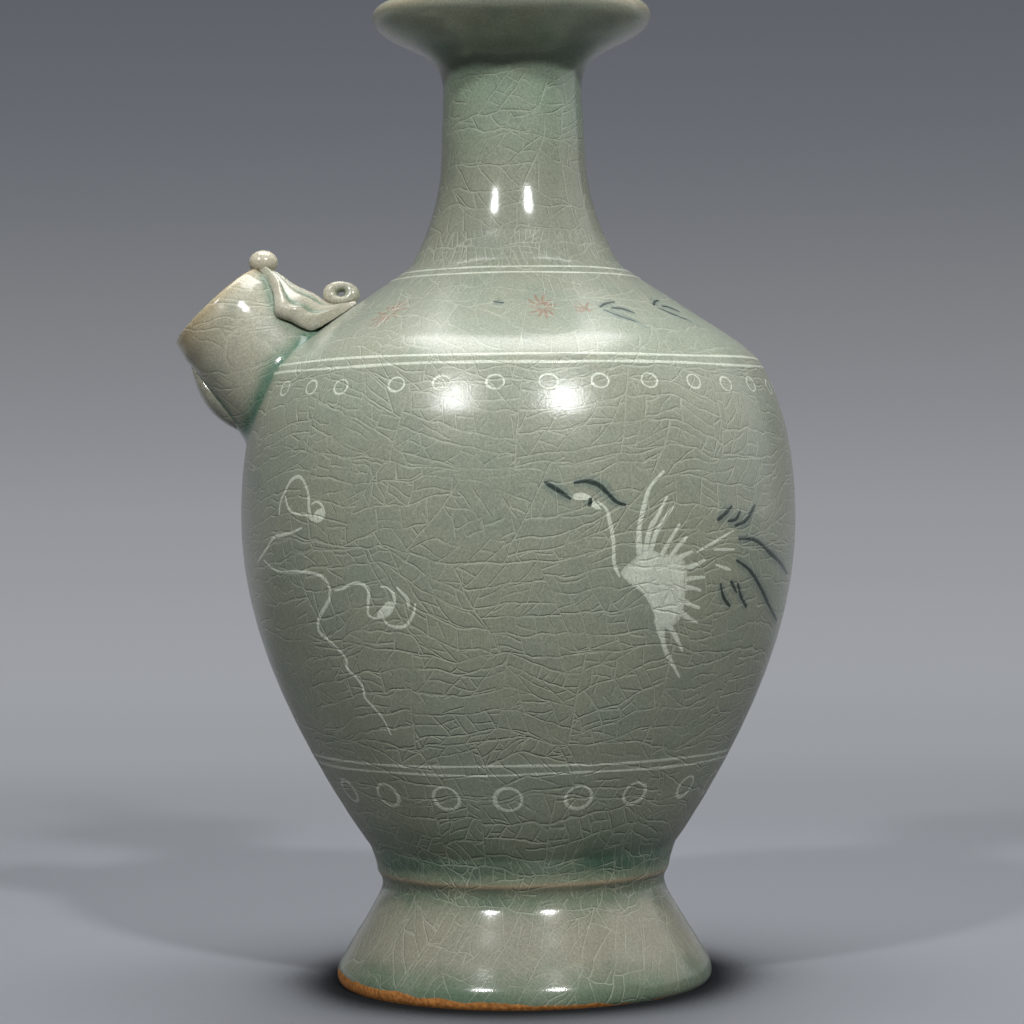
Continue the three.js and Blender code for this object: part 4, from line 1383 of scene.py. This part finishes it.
@dataclass
class Inlay:
    """Slip decoration, flush in the clay: rings, stamped circles, cranes, clouds and shoulder flowers.

    A strip's cross-section has seven points, each with its place across the strip, its height over the skin
    as a share of proud (or below 0 where it is sunk) and how well the slip covers there.
    """

    form: ThrownForm
    spout: Spout
    glazes: dict[Slip, Material]
    sunk: float = 0.3
    proud: float = 0.035
    step: float = 0.6
    strip_sides: tuple[float, ...] = (-1.0, -0.68, 0.0, 0.68, 1.0, 1.0, -1.0)
    strip_lifts: tuple[float, ...] = (0.1, 1.0, 1.1, 1.0, 0.1, -1.0, -1.0)
    strip_cover: tuple[float, ...] = (0.1, 0.8, 0.92, 0.8, 0.1, 0.0, 0.0)
    patch_scales: tuple[float, ...] = (0.0, 0.3, 0.6, 0.85, 1.0, 1.0, 0.0)
    patch_cover: tuple[float, ...] = (0.85, 0.9, 1.0, 1.0, 0.5, 0.5, 0.5)
    line_places: tuple[str, ...] = ("lower", "shoulder", "neck")
    line_heights: tuple[float, ...] = (60.5, 62.6, 164.0, 166.1, 188.8, 190.5)
    line_half_width: float = 0.45
    dice: np.random.Generator = field(default_factory=lambda: np.random.default_rng(7))

    def on_pot(self, anchor: float, x: Array, arc: Array, lift: Array | float) -> Array:
        """Points on the skin, x millimetres right of an anchor angle at distances along the outline."""
        return self.form.skin(anchor + x / self.form.at(arc)[0], arc, lift)

    def lifts(self, height: float = 1.0) -> Array:
        """Heights of a strip's cross-section over the skin, its crown at a share of the usual one."""
        shares = np.array(self.strip_lifts)
        return np.where(shares < 0, -self.sunk, shares * self.proud * height)

    def ribbon(
        self, anchor: float, line: Array, half_width: Array, height: float = 1.0, closed: bool = False
    ) -> Surface:
        """A strip of slip that follows a line.

        Its top is crowned by a few hundredths of a millimetre, and its sides go down into the clay.

        Args:
            anchor: angle of the line's origin.
            line: millimetres to the right of the anchor and distance along the outline, one row a point.
            half_width: half of the strip's width at each point.
            height: height of its crown, as a share of the usual one.
            closed: whether the line returns to its start.

        Returns:
            The strip as a closed surface, with its slip's cover, which is weaker at its sides.
        """
        ahead = np.roll(line, -1, axis=0) - np.roll(line, 1, axis=0) if closed else np.gradient(line, axis=0)
        ahead /= np.linalg.norm(ahead, axis=1)[:, None]
        spread = half_width[:, None] * np.array(self.strip_sides)
        x, arc = line[:, :1] - ahead[:, 1:] * spread, line[:, 1:] + ahead[:, :1] * spread
        return self.strip(self.on_pot(anchor, x, arc, self.lifts(height)), closed)

    def strip(self, rings: Array, closed: bool) -> Surface:
        """Closes a strip's cross-sections to a surface and says how well its slip covers.

        Args:
            rings: the cross-sections, one a row.
            closed: whether the last one joins the first.

        Returns:
            The strip.
        """
        surface = gridded(rings, wrap_rows=True) if closed else lofted(rings)
        surface.values["cover"] = np.tile(self.strip_cover, len(surface.points) // rings.shape[1])
        return surface

    def patch(self, anchor: float, border: Array) -> Surface:
        """A filled touch of slip: rings shrink from its border to its middle, above and under the skin.

        Args:
            anchor: angle of the border's origin.
            border: millimetres to the right of the anchor and distance along the outline, one row a point.

        Returns:
            The touch as a closed surface, with its slip's cover.
        """
        middle = border.mean(axis=0)
        spots = middle + np.array(self.patch_scales)[:, None, None] * (border - middle)
        lift = np.array([self.proud] * 4 + [0.1 * self.proud] + [-self.sunk] * 2)
        surface = gridded(self.on_pot(anchor, spots[..., 0], spots[..., 1], lift[:, None]))
        surface.values["cover"] = np.repeat(self.patch_cover, len(border))
        return surface

    def stroke(self, stroke: Stroke, anchor: tuple[float, float], mirrored: bool, size: float) -> Surface:
        """Puts one stroke of a motif on the pot.

        Args:
            stroke: the stroke.
            anchor: angle in degrees and height of the motif's origin.
            mirrored: whether the motif looks the other way.
            size: the motif's size against its drawing.

        Returns:
            The stroke's closed surface.
        """
        marks = np.array(stroke.points) * size * (-1 if mirrored else 1, 1)
        marks[:, 1] = self.form.arc_at(anchor[1] + marks[:, 1])
        angle = math.radians(anchor[0])
        length = arc_lengths(marks)[-1]
        if not stroke.width:
            return self.patch(angle, through(marks, max(int(length / self.step), 16), closed=True))
        count = max(int(length / self.step), 6)
        share = np.linspace(0, 1, count)
        press = np.clip(np.sin(np.pi * (0.03 + 0.94 * share)), 0, 1) ** 0.4
        if stroke.tapered:
            press = 0.3 + 0.7 * share**0.8
        beat = share * count
        waver = 1 + 0.1 * np.sin(beat * 0.35 + self.dice.random() * 6) + 0.07 * np.sin(beat * 1.1)
        height = 0.6 if stroke.slip is Slip.WASH else 1 + 0.4 * self.dice.random()
        half_width = stroke.width * size * (0.15 + 0.85 * press) * waver
        return self.ribbon(angle, through(marks, count), half_width, height)

    def motif(
        self, motif: Motif, anchor: tuple[float, float], mirrored: bool = False, size: float = 1.0
    ) -> list[tuple[Slip, Surface]]:
        """Puts a motif on the pot, with a pale stain around what is black.

        Args:
            motif: its strokes.
            anchor: angle in degrees and height of its origin.
            mirrored: whether it looks the other way.
            size: its size against its drawing.

        Returns:
            Each stroke's slip and surface.
        """
        black = [stroke for stroke in motif if stroke.slip is Slip.BLACK]
        stains = [Stroke(Slip.WASH, 1.8 * stroke.width + 0.7, stroke.points) for stroke in black]
        return [(stroke.slip, self.stroke(stroke, anchor, mirrored, size)) for stroke in (*stains, *motif)]

    def make_rings(self) -> None:
        """Six inlaid lines in pairs. Each wavers a little in height and stops at the spout's wall."""
        rings = []
        for number, height in enumerate(self.line_heights):
            angle = np.linspace(-np.pi / 2, 1.5 * np.pi, 720, endpoint=False)
            waver = 0.22 * np.sin(3 * angle + number) + 0.14 * np.sin(7 * angle + 2 * number)
            arc = self.form.arc_at(height) + waver * (0.5 if height > 180 else 1.0)
            edge = 0.07 * np.sin(11 * angle + number) + 0.05 * np.sin(29 * angle)
            clear = self.spout.beyond(self.form.skin(angle, arc)) > 0.4
            spread = (self.line_half_width + edge)[:, None] * np.array(self.strip_sides)
            points = self.form.skin(angle[:, None], arc[:, None] + spread, self.lifts())
            rings.append(self.strip(points[clear], bool(clear.all())))
        nodes = [f"{place}_line_inlay_{end}" for place in self.line_places for end in ("low", "high")]
        add_piece("inlaid_lines", joined(rings), self.glazes[Slip.WHITE], tuple(nodes))

    def make_circles(self, band: CircleBand) -> None:
        """Stamps a band of circles, each a little off its place and size, and none on the spout.

        Args:
            band: the band.
        """
        arc = float(self.form.arc_at(band.height))
        turn, line_width = turns(40), band.line_width
        width, height = band.size[0] - line_width, band.size[1] - line_width
        circles = []
        for number in range(band.count):
            angle = band.first + number * TURN / band.count + 0.012 * self.dice.standard_normal()
            if self.spout.beyond(self.form.skin(angle, arc)) < band.size[0] / 2 + 0.8:
                continue
            grow = 1 + 0.04 * self.dice.standard_normal()
            x = width / 2 * grow * np.cos(turn)
            rise = height / 2 * grow * np.sin(turn) + 0.25 * self.dice.standard_normal()
            pressed = 1 + 0.25 * np.sin(turn + self.dice.random() * 6)
            line = np.stack([x, arc + rise], axis=1)
            circles.append(self.ribbon(angle, line, line_width / 2 * pressed, closed=True))
        add_piece(band.name, joined(circles), self.glazes[Slip.WHITE])

    def flower(self, size: float, half: bool = False) -> Motif:
        """Small flower of red petals round a middle, each bent a little and of its own length.

        Args:
            size: length of a petal.
            half: whether only the upper petals show.

        Returns:
            The flower's strokes.
        """
        petals = []
        for turn in np.radians(np.linspace(15, 165, 5) if half else np.arange(11) * 360 / 11 + 8):
            reach = size * (1 + 0.12 * self.dice.standard_normal())
            along = np.array([math.cos(turn), 0.85 * math.sin(turn)])
            aside = np.array([-along[1], along[0]]) * 0.1
            bends = ((0.2, 0), (0.6, 1), (1, 0.3))
            marks = [share * reach * along + bend * reach * aside for share, bend in bends]
            petals.append(Stroke(Slip.RED, 0.46, tuple(tuple(mark) for mark in marks)))
        return tuple(petals)

    def make_pictures(self) -> None:
        """Cranes and clouds round the belly, and flowers and leaves round the shoulder."""
        placed = [
            *self.motif(FLYING_CRANE, (26.5, 112.0)),
            *self.motif(LANDING_CRANE, (60.0, 112.0)),
            *self.motif(CLOUD, (-45.0, 108.0)),
            *self.motif(CLOUD, (112.0, 110.0), mirrored=True),
            *self.motif(FLYING_CRANE, (158.0, 110.0), size=0.97),
            *self.motif(CLOUD, (205.0, 113.0), size=0.95),
            *self.motif(FLYING_CRANE, (-108.0, 104.0), mirrored=True, size=0.95),
        ]
        for turn in (0.0, 93.0, 181.0):
            placed += self.motif(self.flower(3.9), (8.1 + turn, 178.6))
            placed += self.motif(self.flower(3.0, half=True), (20.4 + turn, 177.2))
            placed += self.motif(LEAF_SPRAY, (27.5 + turn, 177.4))
            placed += self.motif(LEAF_SPRAY, (51.0 + turn, 178.6))
        placed += self.motif(self.flower(4.6), (-41.0, 178.4))
        placed += self.motif(DAB, (-5.4, 180.1))
        for slip, glaze in self.glazes.items():
            whole = joined([surface for made_of, surface in placed if made_of is slip])
            add_piece(f"inlaid_{slip.value}_pictures", whole, glaze)


def bands(*marks: tuple[float, int, int, int]) -> tuple[tuple[float, Colour], ...]:
    """Colours along a value, each given as its place and its red, green and blue."""
    return tuple((mark[0], srgb(*mark[1:])) for mark in marks)


@dataclass(frozen=True)
class Lamp:
    """Soft lamp that hangs about the pot's axis: places and sizes in metres, power in watts."""

    name: str
    place: tuple[float, float, float]
    size: tuple[float, float]
    power: float
    aim: tuple[float, float, float] = (0.0, 0.0, 0.12)
    shape: str = "RECTANGLE"
    reflected: bool = True


@dataclass
class Studio:
    """Pale sweep, soft lamps and the camera, placed about the pot's axis in metres.

    The sweep's bands are the colours that it glows with behind the pot, along its run from its front edge up
    the wall; they darken higher up as painted fall-off of light.
    """

    axis: float
    lamps: tuple[Lamp, ...] = (
        Lamp("left_lamp", (-0.814, -1.4, 1.418), (0.15, 0.15), 22.0, shape="DISK"),
        Lamp("right_lamp", (0.625, -1.51, 1.406), (0.15, 0.15), 28.5, shape="DISK"),
        Lamp("overhead_softbox", (0.0, 0.08, 0.75), (0.5, 0.38), 4.75, aim=(0.0, 0.04, 0.0)),
        Lamp("right_light", (0.95, 0.2, 0.5), (0.9, 0.9), 2.0),
        Lamp("back_light", (0.1, 0.85, 0.8), (0.5, 0.4), 4.0, reflected=False),
    )
    room_colour: Colour = (0.9, 0.95, 1.0, 1.0)
    room_strength: float = 0.04
    seen_colour: Colour = srgb(146, 149, 154)
    lens: float = 98.73
    sensor: float = 36.0
    camera_place: tuple[float, float, float] = (-0.00172, -0.762, 0.13306)
    pitch: float = 0.51
    roll: float = 0.8
    sweep_front: float = -2.4
    sweep_back: float = 1.1
    sweep_bend: float = 0.7
    sweep_half_width: float = 3.0
    sweep_top: float = 3.0
    floor_colour: Colour = srgb(120, 123, 128)
    # Painted contact shadow: near the pot the floor's colour turns towards this dark grey, by the occlusion
    # within this reach and over this fade.
    shade_colour: Colour = srgb(22, 25, 28)
    shade_reach: float = 0.033
    shade_fade: tuple[float, float] = (0.82, 0.98)
    bounce_colour: Colour = srgb(84, 86, 88)
    plain_from: tuple[float, float] = (2.62, 3.05)
    sweep_run: float = 6.0
    # Painted fall-off of light: the glowing greys darken from the floor's far part up the wall.
    sweep_bands: tuple[tuple[float, Colour], ...] = bands(
        (2.6, 146, 150, 154), (2.9, 152, 156, 160), (3.5, 157, 160, 164), (3.71, 156, 158, 163),
        (3.91, 149, 150, 155), (4.05, 136, 137, 142), (4.17, 124, 126, 130), (4.27, 112, 115, 120),
        (4.36, 103, 106, 112), (4.47, 96, 98, 105), (5.2, 84, 86, 92),
    )

    def make_sweep(self) -> None:
        """Floor that turns up into a wall: a flat run, a quarter circle and an upright."""
        turn = np.linspace(0, np.pi / 2, 40)
        reach, radius = self.sweep_back, self.sweep_bend
        cove = np.stack([reach + radius * np.sin(turn), radius * (1 - np.cos(turn))], axis=1)
        floor = np.stack([np.linspace(self.sweep_front, reach, 36)[:-1], np.zeros(35)], axis=1)
        line = np.concatenate([floor, cove, [(reach + radius, self.sweep_top)]])
        x = self.axis + np.array([-self.sweep_half_width, self.sweep_half_width])
        points = np.stack(np.broadcast_arrays(x, line[:, :1], line[:, 1:]), axis=-1).reshape(-1, 3)
        mesh = bpy.data.meshes.new("paper_sweep")
        mesh.from_pydata(points.tolist(), [], grid_faces(len(line), 2, False, False).tolist())
        layer = mesh.attributes.new("run", "FLOAT", "POINT")
        layer.data.foreach_set("value", np.repeat(arc_lengths(line), 2).astype(np.float32))
        mesh.shade_smooth()
        sweep = bpy.data.objects.new("paper_sweep", mesh)
        bpy.context.scene.collection.objects.link(sweep)
        mesh.materials.append(self.paper())

    def paper(self) -> Material:
        """Grey paper: lit where the pot stands, with a painted contact shadow in its colour close to the pot,
        and behind the pot a grey glow that darkens up the wall as painted fall-off of light.
        """
        sketch = Sketch("grey_paper")
        run = sketch.attribute("run")
        rays = sketch.add("ShaderNodeLightPath", {}).outputs
        reach = {"Distance": self.shade_reach}
        # Painted contact shadow: the floor's own colour darkens towards the shade colour where the pot is
        # close.
        open_sky = sketch.add("ShaderNodeAmbientOcclusion", reach, samples=16).outputs["AO"]
        shaded = sketch.mix(sketch.fade(open_sky, *self.shade_fade), self.shade_colour, self.floor_colour)
        lit = sketch.mix(rays["Is Camera Ray"], self.bounce_colour, shaded)
        sketch.shade(Base_Color=lit, Roughness=0.9, Specular_IOR_Level=0.15)
        # Painted fall-off of light: behind the pot, camera and glossy rays see the paper glow in greys that
        # darken up the wall.
        painted_falloff = sketch.ramp(run, self.sweep_bands, self.sweep_run)
        plain = sketch.add("ShaderNodeEmission", {"Color": painted_falloff}).outputs[0]
        seen = sketch.math("MAXIMUM", rays["Is Camera Ray"], rays["Is Glossy Ray"])
        share = sketch.math("MULTIPLY", seen, sketch.fade(run, *self.plain_from))
        both = sketch.add("ShaderNodeMixShader", {0: share, 1: sketch.shader.outputs[0], 2: plain})
        sketch.put(sketch.output.inputs["Surface"], both.outputs[0])
        return sketch.material

    def hang(self, lamp: Lamp) -> None:
        """Adds a lamp, which the camera doesn't see itself.

        Args:
            lamp: the lamp.
        """
        light = bpy.data.lights.new(lamp.name, "AREA")
        light.shape = lamp.shape
        light.size, light.size_y = lamp.size
        light.energy = lamp.power
        holder = bpy.data.objects.new(lamp.name, light)
        holder.location = Vector(lamp.place) + Vector((self.axis, 0, 0))
        aim = Vector(lamp.aim) - Vector(lamp.place)
        holder.rotation_euler = aim.to_track_quat("-Z", "Y").to_euler()
        holder.visible_camera = False
        holder.visible_glossy = lamp.reflected
        bpy.context.scene.collection.objects.link(holder)

    def light(self) -> None:
        """Two lamps in front, a softbox overhead, weak ones at the right and behind, and dim light around."""
        for lamp in self.lamps:
            self.hang(lamp)
        world = bpy.data.worlds.new("dim_room")
        world.use_nodes = True
        tree = world.node_tree
        tree.nodes.clear()
        rays = tree.nodes.new("ShaderNodeLightPath")
        both = tree.nodes.new("ShaderNodeMixShader")
        output = tree.nodes.new("ShaderNodeOutputWorld")
        tree.links.new(rays.outputs["Is Camera Ray"], both.inputs[0])
        glows = ((self.room_colour, self.room_strength), (self.seen_colour, 1.0))
        for socket, (colour, strength) in zip((both.inputs[1], both.inputs[2]), glows):
            glow = tree.nodes.new("ShaderNodeBackground")
            glow.inputs["Color"].default_value = colour
            glow.inputs["Strength"].default_value = strength
            tree.links.new(glow.outputs[0], socket)
        tree.links.new(both.outputs[0], output.inputs["Surface"])
        bpy.context.scene.world = world

    def set_camera(self) -> None:
        """Places the camera, which looks a little down and leans a little to the right."""
        lens = bpy.data.cameras.new("camera")
        lens.lens = self.lens
        lens.sensor_width = self.sensor
        lens.clip_start = 0.05
        camera = bpy.data.objects.new("camera", lens)
        x, y, z = self.camera_place
        turn = Matrix.Rotation(math.radians(90 - self.pitch), 4, "X")
        turn = turn @ Matrix.Rotation(math.radians(-self.roll), 4, "Z")
        camera.matrix_world = Matrix.Translation((self.axis + x, y, z)) @ turn
        bpy.context.scene.collection.objects.link(camera)
        bpy.context.scene.camera = camera


BODY_BANDS = bands(
    (0.0, 92, 110, 90), (4.0, 91, 109, 90), (7.0, 105, 115, 98), (11.0, 132, 132, 117), (20.0, 132, 132, 117),
    (23.0, 114, 120, 103), (26.0, 86, 104, 87), (28.5, 100, 108, 90), (31.5, 112, 126, 104),
    (33.5, 66, 94, 77), (36.0, 70, 98, 81), (40.0, 106, 120, 103), (50.0, 136, 144, 127),
    (85.0, 134, 141, 124), (120.0, 133, 140, 124), (150.0, 137, 144, 128), (168.0, 141, 149, 133),
    (190.0, 134, 142, 127), (200.0, 130, 135, 120), (215.0, 130, 135, 119), (230.0, 130, 143, 125),
    (240.0, 122, 138, 119), (250.0, 98, 112, 97), (256.5, 150, 156, 140), (262.0, 142, 146, 128),
    (300.0, 128, 134, 116), (334.0, 120, 128, 108),
)
PALE_BANDS = bands((0.0, 156, 156, 140), (340.0, 160, 159, 144))
LEAF_BANDS = bands((0.0, 163, 159, 143), (340.0, 167, 163, 147))
SLIPS = (
    (Slip.WHITE, "white_slip", srgb(212, 219, 202), 0.74, 0.46),
    (Slip.BLACK, "black_slip", srgb(0, 30, 32), 1.0, 0.12),
    (Slip.RED, "red_slip", srgb(140, 86, 70), 0.62, 0.46),
    (Slip.WASH, "slip_stain", srgb(70, 98, 102), 0.4, 0.46),
)
UPPER_CIRCLES = CircleBand("upper_circles", 159.1, 32, 0.112, (5.2, 4.6), 0.62)
LOWER_CIRCLES = CircleBand("lower_circles", 54.1, 19, -0.058, (8.0, 8.0), 1.1)


def main() -> None:
    """Builds the kundika and its studio."""
    logging.basicConfig(level=logging.INFO, format="%(name)s: %(message)s")
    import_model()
    low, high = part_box("foot")
    axis = (low.x + high.x) / 2 / MM

    body = Glaze("celadon_glaze", BODY_BANDS, axis=axis)
    neck = replace(
        body, name="neck_glaze", cracks=Cracks.NECK, calm_from=238.0, crack_strength=0.38, groove=0.17,
        roughness=0.15,
    )
    foot = replace(
        body, name="foot_glaze", cracks=Cracks.FOOT, crack_strength=0.4, groove=0.12, dimple=0.02,
        roughness=0.15, clay=srgb(140, 92, 50),
    )
    pale = replace(
        body, name="pale_glaze", bands=PALE_BANDS, cracks=Cracks.SPOUT, thin=srgb(164, 146, 110),
        crack_strength=0.26, groove=0.11, roughness=0.15,
    )
    leaf = replace(
        body, name="leaf_glaze", bands=LEAF_BANDS, cracks=Cracks.SPOUT, pool=srgb(76, 108, 88),
        thin=srgb(174, 168, 149), crack_strength=0.15, groove=0.03, roughness=0.2,
    )
    slips = {
        slip: replace(body, name=name, slip=colour, slip_cover=cover, crack_strength=cracks).material()
        for slip, name, colour, cover, cracks in SLIPS
    }

    form = ThrownForm(axis)
    pot = Pot(form, body.material(), neck.material(), foot.material())
    spout = Spout(form, pale.material(), leaf.material())
    inlay = Inlay(form, spout, slips)
    pot.make_foot()
    pot.make_bowl()
    pot.make_shoulder(spout)
    pot.make_neck()
    pot.make_flange()
    pot.make_tube()
    spout.make_cup()
    spout.make_leaf()
    spout.make_bead()
    spout.make_cord_loop()
    spout.make_sepal()
    inlay.make_rings()
    inlay.make_circles(UPPER_CIRCLES)
    inlay.make_circles(LOWER_CIRCLES)
    inlay.make_pictures()

    studio = Studio(axis * MM)
    studio.make_sweep()
    studio.light()
    studio.set_camera()
    bpy.context.scene.view_settings.view_transform = "Standard"
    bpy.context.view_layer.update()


if __name__ == "__main__":
    main()
